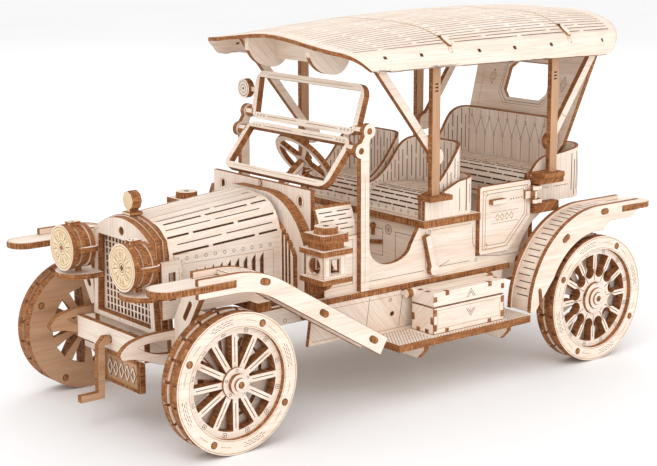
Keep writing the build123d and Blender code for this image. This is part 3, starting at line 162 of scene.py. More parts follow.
def finish_mesh(name, bm, body, replaced=(), bevel=0.0, smooth=False):
    """Turn a bmesh into a piece that rides on a body."""
    mesh = bpy.data.meshes.new(name)
    bm.to_mesh(mesh)
    bm.free()
    for mat in MATERIALS:
        mesh.materials.append(mat)
    obj = add_object(name, mesh)
    if smooth:
        for polygon in mesh.polygons:
            polygon.use_smooth = True
    if bevel:
        mod = obj.modifiers.new("softened edges", "BEVEL")
        mod.width = bevel
        mod.segments = 1
        mod.limit_method = "ANGLE"
        mod.angle_limit = math.radians(50)
        mod.material = M_EDGE
        mod.use_clamp_overlap = True
    if replaced:
        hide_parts(*replaced)
    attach(obj, body)
    return obj


def islands(bm):
    """The faces of each separate solid in a bmesh, always in the same order."""
    seen = set()
    for seed in bm.faces:
        if seed in seen:
            continue
        seen.add(seed)
        group = [seed]
        for face in group:
            for vert in face.verts:
                for other in vert.link_faces:
                    if other not in seen:
                        seen.add(other)
                        group.append(other)
        yield sorted(group, key=lambda face: face.index)


def main_normal(faces):
    """The direction that most of a board's area faces."""
    sums = []
    for face in faces:
        n = face.normal
        for entry in sums:
            if abs(entry[0].dot(n)) > 0.995:
                entry[1] += face.calc_area()
                break
        else:
            sums.append([n.copy(), face.calc_area()])
    return max(sums, key=lambda entry: entry[1])[0].normalized()


def lay_uv(face, layer, normal, grain, broad):
    """Metres along the grain and across it; on an edge, along the edge and through the board."""
    if broad:
        u = grain - face.normal * grain.dot(face.normal)
        if u.length < 0.2:
            u = face.normal.orthogonal()
        u.normalize()
        v = face.normal.cross(u)
    else:
        v = normal
        u = face.normal.cross(normal)
        if u.length < 0.2:
            u = face.normal.orthogonal()
        u.normalize()
    for loop in face.loops:
        loop[layer].uv = (loop.vert.co.dot(u), loop.vert.co.dot(v))


def wood_copy(node, normal=None, grain="X", bevel=0.0002, choose=None, painted_shade=None, reach=None):
    """A CAD node's own shape, with pale faces and scorched edges.

    normal is the board's direction, or None to find it for each solid. choose(face normal, centre in mm)
    may give the material itself, a further test picks the faces in shadow that get the tan material, a painted
    shade, and reach holds y within that many mm.
    """
    bm = bmesh.new()
    bm.from_mesh(NODES[node].data)
    bmesh.ops.remove_doubles(bm, verts=bm.verts, dist=1e-6)
    if reach:
        for vert in bm.verts:
            vert.co.y = max(-reach * MM, min(reach * MM, vert.co.y))
    bm.normal_update()
    bm.faces.index_update()
    layer = bm.loops.layers.uv.new("UVMap")
    for faces in islands(bm):
        board = AXES[normal] if normal else main_normal(faces)
        for face in faces:
            here = face.calc_center_median() / MM
            index = M_FACE if abs(face.normal.dot(board)) > 0.9 else M_EDGE
            if choose:
                chosen = choose(face.normal, here)
                index = index if chosen is None else chosen
            if painted_shade and index == M_FACE and painted_shade(face.normal, here):
                index = M_TAN_AND_PAINTED_SHADE
            face.material_index = index
            lay_uv(face, layer, board, AXES[grain], index in (M_FACE, M_TAN_AND_PAINTED_SHADE))
    bmesh.ops.dissolve_limit(bm, angle_limit=math.radians(0.5), verts=bm.verts, edges=bm.edges,
                             delimit={"MATERIAL"})
    return finish_mesh(f"{node}_wood", bm, BODY_OF[node], (node,), bevel)


def kerf_sheet(name, body, point, us, vs, cut, thickness, replaced):
    """A thin board bent to a surface, with slots cut through it.

    point(u, v) gives the middle surface in mm and its outward unit normal. us and vs are the grid's
    lines; cut(u, v) says if a cell whose middle is there is missing.
    """
    bm = bmesh.new()
    layer = bm.loops.layers.uv.new("UVMap")
    nu, nv = len(us), len(vs)
    top, low, flat = {}, {}, {}
    walk_u = [0.0]
    for i in range(1, nu):
        a, b = point(us[i - 1], vs[0])[0], point(us[i], vs[0])[0]
        walk_u.append(walk_u[-1] + (Vector(b) - Vector(a)).length)
    kept = [[not cut((us[i] + us[i + 1]) / 2, (vs[j] + vs[j + 1]) / 2) for j in range(nv - 1)]
            for i in range(nu - 1)]

    def corner(i, j):
        if (i, j) not in top:
            p, n = point(us[i], vs[j])
            p, n = Vector(p), Vector(n)
            top[i, j] = bm.verts.new((p + n * thickness / 2) * MM)
            low[i, j] = bm.verts.new((p - n * thickness / 2) * MM)
            flat[i, j] = (walk_u[i] * MM, vs[j] * MM)
        return top[i, j], low[i, j]

    def add(verts, index, uvs):
        face = bm.faces.new(verts)
        face.material_index = index
        for loop, uv in zip(face.loops, uvs):
            loop[layer].uv = (uv[1], uv[0])
        face.smooth = index != M_EDGE
        return face

    for i in range(nu - 1):
        for j in range(nv - 1):
            if not kept[i][j]:
                continue
            keys = ((i, j), (i + 1, j), (i + 1, j + 1), (i, j + 1))
            tops, lows = [], []
            for key in keys:
                a, b = corner(*key)
                tops.append(a)
                lows.append(b)
            uvs = [flat[key] for key in keys]
            add(tops, M_FACE, uvs)
            add(lows[::-1], M_FACE, uvs[::-1])
            sides = ((0, 1, i, j - 1), (1, 2, i + 1, j), (2, 3, i, j + 1), (3, 0, i - 1, j))
            for a, b, ni, nj in sides:
                if 0 <= ni < nu - 1 and 0 <= nj < nv - 1 and kept[ni][nj]:
                    continue
                ua, ub = flat[keys[a]], flat[keys[b]]
                run_a, run_b = ua[0] + ua[1], ub[0] + ub[1]
                t = thickness * MM
                add((tops[b], tops[a], lows[a], lows[b]), M_EDGE,
                    ((run_b, 0), (run_a, 0), (run_a, t), (run_b, t)))
    bmesh.ops.recalc_face_normals(bm, faces=bm.faces)
    return finish_mesh(name, bm, body, replaced)


def cuts_between(low, high, edges, step):
    """Grid lines from low to high that include every edge, with none further apart than step."""
    points = sorted({round(p, 5) for p in (low, high, *edges) if low - 1e-6 <= p <= high + 1e-6})
    clean = [points[0]]
    for p in points[1:]:
        if p - clean[-1] > 1e-4:
            clean.append(p)
    lines = []
    for a, b in zip(clean, clean[1:]):
        count = max(1, math.ceil((b - a) / step))
        lines += [a + (b - a) * k / count for k in range(count)]
    return lines + [clean[-1]]


def on_side(y):
    """Marks on a face that looks along Y: a point is (x, z)."""
    sense = 1 if y > 0 else -1
    return lambda p, h: Vector((p[0], y + sense * h, p[1]))


def on_end(x, sense=1):
    """Marks on a face that looks along X: a point is (y, z)."""
    return lambda p, h: Vector((x + sense * h, p[0], p[1]))


def on_top(z, sense=1):
    """Marks on a level face: a point is (x, y)."""
    return lambda p, h: Vector((p[0], p[1], z + sense * h))


def on_board(origin, across, up, normal):
    """Marks on a slanted board."""
    x, y, n = (Vector(way).normalized() for way in (across, up, normal))
    return lambda p, h: origin + x * p[0] + y * p[1] + n * h


def turned(centre, x, y, degrees):
    """The point at (x, y) from a centre, turned about it."""
    c, s = math.cos(math.radians(degrees)), math.sin(math.radians(degrees))
    return (centre[0] + x * c - y * s, centre[1] + x * s + y * c)


def polar(centre, radius, angle):
    """A point at an angle in degrees round a centre."""
    return turned(centre, radius, 0, angle)


TREES = {}


def tree_of(nodes):
    """A search tree over the faces of some CAD nodes."""
    if nodes not in TREES:
        verts, polygons = [], []
        for node in nodes:
            mesh = NODES[node].data
            start = len(verts)
            verts += [v.co.copy() for v in mesh.vertices]
            polygons += [[start + i for i in p.vertices] for p in mesh.polygons]
        TREES[nodes] = BVHTree.FromPolygons(verts, polygons)
    return TREES[nodes]


def cast(nodes, start, way):
    """Marks on whatever surface of the nodes a ray meets. start(p) is in mm; way is the ray's direction."""
    tree, way = tree_of(nodes), Vector(way).normalized()

    def place(p, h):
        hit, normal, _, _ = tree.ray_cast(Vector(start(p)) * MM, way)
        if hit is None:
            return None
        if normal.dot(way) > 0:
            normal = -normal
        return hit / MM + normal * h
    return place


def from_side(sense, *nodes, start=60):
    """Marks on the first surface that the car's left or right side shows: a point is (x, z)."""
    return cast(nodes, lambda p: (p[0], start * sense, p[1]), (0, -sense, 0))


class Drawing:
    """Marks on a surface: thin strokes, rings, dots and tenon ends, each a small closed solid."""

    def __init__(self, place, proud=0.04, depth=0.25, step=None):
        self.place, self.proud, self.depth, self.step = place, proud, depth, step
        self.bm = bmesh.new()
        self.layer = self.bm.loops.layers.uv.new("UVMap")

    def prism(self, points, index=M_INK, proud=None):
        """A closed shape whose top stands a little above the face."""
        proud = self.proud if proud is None else proud
        tops = [self.place(p, proud) for p in points]
        lows = [self.place(p, -self.depth) for p in points]
        if any(p is None for p in tops + lows):
            return self
        tops = [self.bm.verts.new(p * MM) for p in tops]
        lows = [self.bm.verts.new(p * MM) for p in lows]
        count = len(points)
        faces = [self.bm.faces.new(tops), self.bm.faces.new(lows[::-1])]
        for k in range(count):
            m = (k + 1) % count
            faces.append(self.bm.faces.new((tops[m], tops[k], lows[k], lows[m])))
        for face in faces:
            face.material_index = index
            for loop in face.loops:
                co = loop.vert.co
                loop[self.layer].uv = (co.x + 0.37 * co.y, co.z + 0.53 * co.y)
        return self

    def line(self, points, width=0.28, index=M_INK, closed=False, proud=None):
        """A stroke through the points."""
        pts = [Vector(p) for p in points]
        if closed:
            pts.append(pts[0])
        if self.step:
            fine = [pts[0]]
            for a, b in zip(pts, pts[1:]):
                count = max(1, math.ceil((b - a).length / self.step))
                fine += [a + (b - a) * k / count for k in range(1, count + 1)]
            pts = fine
        for a, b in zip(pts, pts[1:]):
            d = b - a
            if d.length < 1e-5:
                continue
            d.normalize()
            n = Vector((-d.y, d.x)) * width / 2
            lap = Vector((0, 0)) if self.step else d * width * 0.3
            self.prism([a - n - lap, b - n + lap, b + n + lap, a + n - lap], index, proud)
        return self

    def ring(self, centre, radius, width=0.28, index=M_INK, start=0.0, sweep=360.0, steps=20, proud=None):
        """A circle or an arc drawn as a stroke."""
        count = max(2, int(steps * min(sweep, 360.0) / 360))
        pts = [polar(centre, radius, start + sweep * k / count) for k in range(count + 1)]
        return self.line(pts, width, index, proud=proud)

    def dot(self, centre, rx, index=M_INK, proud=None, steps=14, ry=None):
        """A filled round or oval mark."""
        ry = rx if ry is None else ry
        x, y = centre
        turns = [2 * math.pi * k / steps for k in range(steps)]
        return self.prism([(x + rx * math.cos(a), y + ry * math.sin(a)) for a in turns], index, proud)

    def bar(self, centre, length, width, turn=0.0, index=M_INK, proud=None):
        """A filled rectangle."""
        corners = ((-1, -1), (1, -1), (1, 1), (-1, 1))
        points = [turned(centre, i * length / 2, j * width / 2, turn) for i, j in corners]
        return self.prism(points, index, proud)

    def joints(self, xs, ys, length, width):
        """The scorched ends of box joints, at each x and y."""
        for y in ys:
            for x in xs:
                self.bar((x, y), length, width, 0, M_EDGE, 0.05)

    def rings(self, points, radius, width=0.2, index=M_INK, steps=12):
        """Small circles, such as rivets."""
        for point in points:
            self.ring(point, radius, width, index, steps=steps)

    def lozenge(self, centre, half, tall=None, width=0.22, index=M_INK):
        """A small diamond outline."""
        tall = half if tall is None else tall
        x, y = centre
        corners = [(x - half, y), (x, y - tall), (x + half, y), (x, y + tall)]
        return self.line(corners, width, index, closed=True)

    def box(self, low, high, width=0.22, index=M_INK, cut=0.0):
        """A rectangle outline, with cut corners if cut is given."""
        (x0, y0), (x1, y1) = low, high
        if cut:
            pts = [(x0 + cut, y0), (x1 - cut, y0), (x1, y0 + cut), (x1, y1 - cut),
                   (x1 - cut, y1), (x0 + cut, y1), (x0, y1 - cut), (x0, y0 + cut)]
        else:
            pts = [(x0, y0), (x1, y0), (x1, y1), (x0, y1)]
        return self.line(pts, width, index, closed=True)

    def tenon(self, centre, length, width, turn=0.0, proud=0.5):
        """The rounded end of a tenon in its slot: a dark outline, and a scorched end that stands out."""
        def shape(full, wide):
            r, pts = wide / 2, []
            for end in (1, -1):
                for k in range(7):
                    a = math.radians((-90 if end > 0 else 90) + 30 * k)
                    pts.append((end * (full / 2 - r) + r * math.cos(a), r * math.sin(a)))
            return [turned(centre, x, y, turn) for x, y in pts]
        self.prism(shape(length + 0.6, width + 0.6), M_INK)
        return self.prism(shape(length, width), M_EDGE, proud)

    def make(self, name, body="chassis"):
        """Finish the marks as one piece that rides with the board they lie on."""
        if not self.bm.faces:
            self.bm.free()
            return None
        bmesh.ops.recalc_face_normals(self.bm, faces=self.bm.faces)
        return finish_mesh(name, self.bm, body)


# ---- camera, floor and light
def add_camera():
    """The photograph's viewpoint, from a camera fitted to it."""
    azimuth, elevation, roll = (math.radians(a) for a in (141.28779, 11.97878, -0.171061))
    back = Vector((math.sin(azimuth) * math.cos(elevation), -math.cos(azimuth) * math.cos(elevation),
                   math.sin(elevation)))
    right = AXES["Z"].cross(back).normalized()
    up = back.cross(right)
    x = right * math.cos(roll) + up * math.sin(roll)
    y = up * math.cos(roll) - right * math.sin(roll)
    data = bpy.data.cameras.new("photo_camera")
    data.sensor_width = 36
    data.lens = 87.296
    data.clip_start = 0.01
    camera = add_object("photo_camera", data)
    turn = Matrix((x, y, back)).transposed().to_4x4()
    camera.matrix_world = Matrix.Translation((0.50906, 0.62174, 0.24336)) @ turn
    bpy.context.scene.camera = camera


def add_light(name, place, target, size, power, colour=(1, 1, 1)):
    data = bpy.data.lights.new(name, "AREA")
    data.shape = "DISK"
    data.size = size
    data.energy = power
    data.color = colour
    light = add_object(name, data)
    light.location = place
    light.rotation_euler = (Vector(target) - Vector(place)).to_track_quat("-Z", "Y").to_euler()


def add_studio():
    bm = bmesh.new()
    bmesh.ops.create_grid(bm, x_segments=8, y_segments=8, size=6)
    mesh = bpy.data.meshes.new("floor")
    bm.to_mesh(mesh)
    bm.free()
    mat, tree, shader = new_material("pale_floor", 0.9, 0.05)
    coords = tree.nodes.new("ShaderNodeTexCoord").outputs["Object"]
    speck = noise(tree, coords, 3.0, (1, 1, 1), 3.0, 0.5)
    pale = ramp(tree, speck, ((0.3, (0.95, 0.95, 0.95)), (0.7, (0.97, 0.97, 0.97))))
    tree.links.new(pale, shader.inputs["Base Color"])
    mesh.materials.append(mat)
    floor = add_object("floor", mesh)
    floor.location = (0, 0, -0.0002)
    world = bpy.data.worlds.new("studio")
    world.use_nodes = True
    tree = world.node_tree
    background = tree.nodes["Background"]
    coords = tree.nodes.new("ShaderNodeTexCoord").outputs["Generated"]
    split = tree.nodes.new("ShaderNodeSeparateXYZ")
    tree.links.new(coords, split.inputs["Vector"])
    glow = ramp(tree, split.outputs["Z"],
                ((0.0, (1.0, 1.0, 1.0)), (0.12, (1.0, 1.0, 1.0)), (0.6, (0.76, 0.76, 0.77))))
    tree.links.new(glow, background.inputs["Color"])
    background.inputs["Strength"].default_value = 1.12
    bpy.context.scene.world = world
    sun = bpy.data.lights.new("sun", "SUN")
    sun.energy = 0.34
    sun.angle = math.radians(35)
    lamp = add_object("sun", sun)
    lamp.rotation_euler = Vector((-0.55, -0.75, -1.2)).to_track_quat("-Z", "Y").to_euler()
    add_light("key", (0.9, 0.35, 1.1), (0, 0, 0.08), 0.8, 2.5, (1.0, 0.99, 0.975))
    add_light("fill", (0.1, 1.5, 0.4), (0, 0, 0.08), 1.6, 7, (1.0, 0.99, 0.98))
    add_light("rim", (-0.9, -0.9, 1.0), (0, 0, 0.08), 1.0, 4)
    bpy.context.scene.view_settings.view_transform = "Standard"


# ---- boards that keep their CAD shape
Y_BOARDS = ("axle_hangers", "body_sides", "front_fender_plates", "rear_fender_plates", "roof_braces",
            "rear_door_left", "rear_door_right", "brake_lever", "windscreen_posts")
X_BOARDS = ("fender_stays", "board_brackets", "radiator_shell", "radiator_grille", "firewall",
            "scuttle_board", "number_plate", "toolbox_pins")
Z_BOARDS = ("floor_board", "running_boards", "front_fender_tongues", "rear_fender_tongues", "sill_rails")
OTHER_BOARDS = ("aprons", "chassis_cross_boards", "rear_wall", "windscreen_lower_frame",
                "windscreen_upper_frame", "steering_wheel", "front_axle_beam", "rear_axle",
                "steering_knuckle_left", "steering_knuckle_right", "steering_column")


def where(test, index, other=None):
    """A chooser: one material where the test holds, and another, or the usual one, elsewhere."""
    return lambda n, c: index if test(n, c) else other


for node in Y_BOARDS:
    wood_copy(node, "Y", "X")
for node in X_BOARDS:
    wood_copy(node, "X", "Z")
for node in Z_BOARDS:
    wood_copy(node, "Z", "X")
for node in OTHER_BOARDS:
    wood_copy(node, None, "Y")
# the rails' inner sides get the tan material: painted shade
wood_copy("chassis_rails", "Y", "X", painted_shade=lambda n, c: n.y * c.y < 0)
# the crank's lower part gets the tan material: painted shade
wood_copy("starting_crank", "Y", "X", painted_shade=lambda n, c: c.z < 60)
wood_copy("seat_board", None, "Y", choose=where(
    lambda n, c: (abs(n.x) > 0.9 and c.z < 81.95) or (abs(n.z) > 0.9 and c.z > 81.5), M_FACE, M_EDGE))
wood_copy("radiator_cap", "X", "Z", choose=where(lambda n, c: n.x > 0.9 and c.z > 98.5, M_GILT))
wood_copy("toolbox", None, "X", bevel=0.0004, choose=where(lambda n, c: True, M_FACE))
wood_copy("toolbox_lid", None, "X", bevel=0.0004,
          choose=where(lambda n, c: abs(n.z) > 0.9 and c.z < 47.2, M_EDGE, M_FACE))


def lamp_face(n, c):
    """The lamps' brackets and top vents are level boards, and their drums are stacked discs."""
    level = abs(n.z) > 0.9
    if c.z < 70 or c.z > 92.6 or (80.3 < c.z < 82.9 and level):
        return M_FACE if level else M_EDGE
    return None


def post_face(n, c):
    """The post's blocks show cut edges on their outer sides, and the posts' broad faces high up are painted
    shade in the tan material.
    """
    if abs(n.z) < 0.5 and (80 < c.z < 85.3 or 95.5 < c.z < 101.6) and abs(c.y) > 51.9 and abs(n.y) > 0.5:
        return M_EDGE
    return M_TAN_AND_PAINTED_SHADE if abs(n.y) > 0.9 and c.z > 101.7 else None


wood_copy("headlamps", "X", "Z", choose=lamp_face)
wood_copy("roof_formers", None, "Y",
          choose=where(lambda n, c: abs(n.x) > 0.9 or (abs(n.y) > 0.9 and c.x > 17), M_FACE, M_EDGE))
wood_copy("roof_posts", "Y", "Z", choose=post_face)
LANTERN_X, LANTERN_Y = 58.6, 57.8
wood_copy("lanterns", "Z", "X", choose=where(
    lambda n, c: abs(n.z) < 0.5 and 70.2 < c.z < 80.7
    and max(abs(c.x - LANTERN_X), abs(abs(c.y) - LANTERN_Y)) > 6.6, M_FACE))
# bent sheets show a face everywhere but along their cut rims
for node in ("front_fender_sheets", "rear_fender_sheets"):
    wood_copy(node, None, "Y", choose=where(lambda n, c: abs(n.y) > 0.9, M_EDGE, M_FACE))
for node, front_x in (("front_seats", -11.5), ("rear_seat", -88.5), ("rear_tub", -86)):
    wood_copy(node, None, "Z", choose=where(
        lambda n, c: abs(n.z) > 0.3 or (n.x > 0.9 and c.x > front_x), M_EDGE, M_FACE))
wood_copy("seat_cushions", None, "Y", choose=where(lambda n, c: n.z < -0.5, M_EDGE, M_FACE))
wood_copy("bonnet", None, "X", choose=where(
    lambda n, c: abs(n.x) > 0.5 or (abs(n.z) > 0.9 and c.z < 80), M_EDGE, M_FACE))
wood_copy("cowl_panels", None, "X", choose=where(
    lambda n, c: abs(n.x) > 0.9 or (n.z > 0.3 and c.z > 98.3), M_EDGE, M_FACE))

REAR_AXLE_X, REAR_AXLE_Z = -114.7, 33.6
WHEELS = (("front", "left", 119.0, 32.5), ("front", "right", 119.0, 32.5),
          ("rear", "left", REAR_AXLE_X, REAR_AXLE_Z), ("rear", "right", REAR_AXLE_X, REAR_AXLE_Z))
# the wheels' inner faces get the tan material: painted shade
for end, side, axle_x, radius in WHEELS:
    inward = -1 if side == "left" else 1
    for part, reach in (("tyre", None), ("spokes", 73.62)):
        wood_copy(f"{end}_{part}_{side}", "Y", "X", painted_shade=lambda n, c: n.y * inward > 0.9, reach=reach)


# ---- roof, with its rows of through cuts
ROOF_X = (-143.4, 48.0)
ROOF_HALF = 63.0
ROOF_CORNER = 17.0
ROOF_THICK = 1.9
CORNER_RUN = 22.0
roof_tree = tree_of(("roof_sheet",))


def roof_x(v, y):
    """Where a lengthwise position lies when the plan corners are rounded."""
    over = abs(y) - (ROOF_HALF - ROOF_CORNER)
    inset = ROOF_CORNER - math.sqrt(max(0.0, ROOF_CORNER ** 2 - max(0.0, over) ** 2)) if over > 0 else 0.0
    low, high = ROOF_X
    if v > high - CORNER_RUN:
        return high - CORNER_RUN + (v - high + CORNER_RUN) * (CORNER_RUN - inset) / CORNER_RUN
    if v < low + CORNER_RUN:
        return low + CORNER_RUN - (low + CORNER_RUN - v) * (CORNER_RUN - inset) / CORNER_RUN
    return v


def roof_point(u, v):
    """The middle of the roof board at distance u across the car and v along it."""
    y = max(-ROOF_HALF + 0.03, min(ROOF_HALF - 0.03, u))
    x = max(ROOF_X[0] + 0.03, min(ROOF_X[1] - 0.03, roof_x(v, u)))
    for shrink in (0.0, 0.05, 0.15, 0.4, 1.0):
        mid_x = (ROOF_X[0] + ROOF_X[1]) / 2
        probe = (x + (mid_x - x) * shrink * 0.01, y * (1 - shrink * 0.01))
        hit, normal, _, _ = roof_tree.ray_cast(Vector((probe[0], probe[1], 230)) * MM, Vector((0, 0, -1)))
        if hit is not None and normal.z > 0.25:
            break
    normal = Vector((0, normal.y, max(normal.z, 0.3))).normalized()
    return hit / MM - normal * (ROOF_THICK / 2 + 0.05), normal


ROOF_CUTS = (1.8, 5.6, 9.4, 13.2, 17.0, 20.8, 24.4, 28.0, 31.4, 34.6, 37.6, 40.4, 43.0, 45.5, 47.9, 50.2, 52.4,
             54.5)
roof_slots = []
for number, y in enumerate(ROOF_CUTS):
    width = 0.28 if y < 22 else 0.42
    for sense in (-1, 1):
        start = ROOF_X[0] + 7.0 - 23.0 * (number % 2)
        while start < ROOF_X[1] - 6:
            a, b = max(start, ROOF_X[0] + 6.5), min(start + 43.0, ROOF_X[1] - 6.5)
            if b - a > 5:
                roof_slots.append((sense * y - width / 2, sense * y + width / 2, a, b))
            start += 46.0
EDGE_SLOT_X = (24.4, 1.6, -36.4, -60.8, -87.0, -127.0)
for x in EDGE_SLOT_X:
    for sense in (-1, 1):
        roof_slots.append((sense * 59.6 - 0.6, sense * 59.6 + 0.6, x - 1.0, x + 1.0))


def in_roof_slot(u, v):
    return any(a < u < b and c < v < d for a, b, c, d in roof_slots)


rim_lines = [sense * (ROOF_HALF - d) for d in (0.03, 0.09, 0.2, 0.4, 0.7, 1.1, 1.6, 2.2) for sense in (-1, 1)]
roof_us = cuts_between(-ROOF_HALF, ROOF_HALF, [e for s in roof_slots for e in s[:2]] + rim_lines, 2.0)
roof_vs = cuts_between(*ROOF_X, [e for s in roof_slots for e in s[2:]], 6.0)
kerf_sheet("roof_bent_sheet", "chassis", roof_point, roof_us, roof_vs, in_roof_slot, ROOF_THICK,
           ("roof_sheet",))


def on_roof(p, h):
    """Marks on the roof: a point is (x, y)."""
    middle, normal = roof_point(p[1], p[0])
    return middle + normal * (ROOF_THICK / 2 + h)


roof_lines = Drawing(on_roof, step=1.6, depth=0.1, proud=0.03)
for x in (-18.0, -101.5):
    roof_lines.line([(x, -57.0), (x, 57.0)], 0.7, M_GOLD)
    for y in (-58.6, 58.6):
        roof_lines.ring((x, y), 1.1, 0.2, M_GOLD)
roof_lines.make("roof_seams")
# the tips of the wedges that hold the roof on its formers
tips = Drawing(on_roof, depth=0.6)
for x in (-19.5, -103.0):
    for y in (-53.5, 53.5):
        sense = 1 if y > 0 else -1
        tips.bar((x, y - sense * 3.6), 2.6, 2.6, 0, M_INK, 0.05)
        tips.dot((x, y), 1.7, M_EDGE, 0.9, 18, ry=3.6)
        tips.dot((x, y), 1.5, M_FACE, 1.0, 18, ry=3.4)
tips.make("roof_wedge_tips")


# ---- wheels
for end, side, axle_x, radius in WHEELS:
    sense = 1 if side == "left" else -1
    body = f"front_wheel_{side}" if end == "front" else "rear_wheels"
    nodes = (f"{end}_tyre_{side}", f"{end}_spokes_{side}")
    out = Drawing(from_side(sense, *nodes, start=90))
    centre = (axle_x, radius)
    mid = radius - 3.6
    for k in range(4):
        angle = 28 * sense + 90 * k
        pin = polar(centre, mid, angle)
        out.dot(pin, 1.75, M_INK, proud=0.04)
        out.dot(pin, 1.45, M_EDGE, proud=0.15)
        for start in (8.0, -19.0):
            out.ring(centre, mid, 0.22, M_GOLD, angle + start, 11.0, 36)
        for row in (-1, 0, 1):
            for n in range(-2, 3):
                begin = angle + 45 + n * 4.6 + (1.15 if row else -1.15)
                out.ring(centre, mid + row * 0.95, 0.2, M_INK, begin - 1.5, 3.0, 36)
    for k in range(12):
        angle = 15 + 30 * k
        spot = polar(centre, radius - 8.5, angle)
        c, s = math.cos(math.radians(angle)), math.sin(math.radians(angle))
        half = 0.95
        square = [(spot[0] + (i * c - j * s) * half, spot[1] + (i * s + j * c) * half)
                  for i, j in ((-1, -1), (1, -1), (1, 1), (-1, 1))]
        out.line(square, 0.2, closed=True)
        out.dot(spot, 0.33, steps=8)
        spoke = 30 * k
        out.line([polar(centre, 9.5, spoke), polar(centre, radius - 11.6, spoke)], 0.34)
    for k in range(5):
        out.ring(polar(centre, 6.0 if end == "front" else 8.0, 20 + 72 * k), 0.62, 0.2, steps=12)
    sunk = 0.16 if end == "front" else 0.0
    out.dot(centre, 1.6, M_INK, proud=0.04 - sunk)
    out.dot(centre, 1.35, M_EDGE, proud=0.12 - sunk)
    out.ring(centre, radius - 0.7, 0.26, M_GOLD, steps=72)
    out.ring(centre, radius - 6.4, 0.22, M_GOLD, steps=72)
    out.make(f"{end}_wheel_{side}_marks", body)
    back = Drawing(cast(nodes, lambda p: (p[0], 40 * sense, p[1]), (0, sense, 0)))
    for k in range(4):
        pin = polar(centre, mid, 28 + 90 * k)
        back.dot(pin, 1.75, M_INK)
        back.dot(pin, 1.4, M_EDGE, proud=0.12)
    back.make(f"{end}_wheel_{side}_back_marks", body)

FENDER_TENONS = ((103.2, 76.4, 14), (70.1, 56.4, 31.2), (40.4, 38.6, 31.2), (-119.0, 80.0, 0),
                 (-90.0, 69.4, -35))
FENDER_RADIUS = 48.6
FENDER_QUARTER = FENDER_RADIUS * math.pi / 2
SIDES = ((1, "left"), (-1, "right"))
for sense, name in SIDES:
    d = Drawing(on_side(70.8 * sense))
    for x, z, turn in FENDER_TENONS:
        d.tenon((x, z), 5.2, 2.6, turn)
    d.tenon((-72.0, 40.0), 11.0, 1.8, 82, proud=0.4)
    d.make(f"fender_plate_{name}_tenons")
    d = Drawing(lambda p, h: Vector((p[0], sense * (54.0 - h), p[1])))
    for x, z, turn in FENDER_TENONS:
        d.tenon((x, z), 5.2, 2.6, turn)
    d.make(f"fender_inner_plate_{name}_tenons")

    def on_fender(p, h):
        """p is the distance along the rear fender's bent sheet from its foot, and y."""
        reach, r = p[0] / FENDER_RADIUS, FENDER_RADIUS + h
        if reach < math.pi / 2:
            return Vector((REAR_AXLE_X + r * math.cos(reach), sense * p[1], REAR_AXLE_Z + r * math.sin(reach)))
        return Vector((REAR_AXLE_X - (p[0] - FENDER_QUARTER), sense * p[1], REAR_AXLE_Z + r))

    # cuts from alternate sides
    d = Drawing(on_fender, step=2.5)
    count = 0
    along = 8.0
    while along < FENDER_QUARTER + 12:
        low = 57.3 if count % 2 else 59.0
        d.line([(along, low), (along, low + 8.0)], 0.5)
        along += 3.5
        count += 1
    d.make(f"rear_fender_{name}_cuts")

    # bonnet: louvre border, rivets, shoulder cuts
    d = Drawing(from_side(sense, "bonnet"), step=6.0)
    d.rings([(120.0 - 5.2 * k, 80.9) for k in range(11)], 0.75)
    d.rings([(120.0, 80.9 - 6.3 * k) for k in (1, 2)], 0.75)
    d.line([(117.6, 57.5), (117.6, 78.4), (66.0, 78.4), (66.0, 57.5)], 0.2, M_GOLD)
    d.line([(122.0, 57.0), (122.0, 83.2), (114.0, 83.2)], 0.2, M_GOLD)
    d.make(f"bonnet_{name}_rivets")

    # seat side panels and tubs seen from outside: upright cuts
    d = Drawing(from_side(sense, "front_seats", start=70), step=4.0)
    for x, low, high, width in ((-33.5, 88, 99.5, 0.3), (-38.2, 87.5, 103.5, 0.7), (-41.0, 91, 100.8, 0.3)):
        d.line([(x, low), (x, high)], width)
    d.make(f"seat_side_{name}_cuts")


RIDGE_DROP = 1.2


def bonnet_section(x):
    """The bonnet's section at x: half width, shoulder height, half flat, crown, arc radius and sweep."""
    t = (124.4 - x) / 62.4
    half, shoulder, flat, crown = 26 + t, 82 + 4 * t, 12 + t, 97.6 + 5.8 * t
    a, rise = half - flat, crown - RIDGE_DROP - shoulder
    radius = (a * a + rise * rise) / (2 * a)
    return half, shoulder, flat, crown, radius, math.asin(rise / radius)


def bonnet_place(p, h):
    """A point on the bonnet's outside: p is x, and the distance round from the ridge (signed by side)."""
    x, run = p
    half, shoulder, flat, crown, radius, sweep = bonnet_section(x)
    side = 1 if run >= 0 else -1
    run = abs(run)
    top = math.hypot(flat, RIDGE_DROP)
    if run <= top:
        y, z = run * flat / top, crown - run * RIDGE_DROP / top
        ny, nz = RIDGE_DROP / top, flat / top
    elif run <= top + radius * sweep:
        angle = sweep - (run - top) / radius
        y, z = half - radius + radius * math.cos(angle), shoulder + radius * math.sin(angle)
        ny, nz = math.cos(angle), math.sin(angle)
    else:
        y, z, ny, nz = half, shoulder - (run - top - radius * sweep), 1.0, 0.0
    return Vector((x, side * (y + ny * h), z + nz * h))


def arc_run(x, share):
    """Distance round the bonnet from the ridge to a share of its shoulder arc."""
    _, _, flat, _, radius, sweep = bonnet_section(x)
    return math.hypot(flat, RIDGE_DROP) + share * radius * sweep


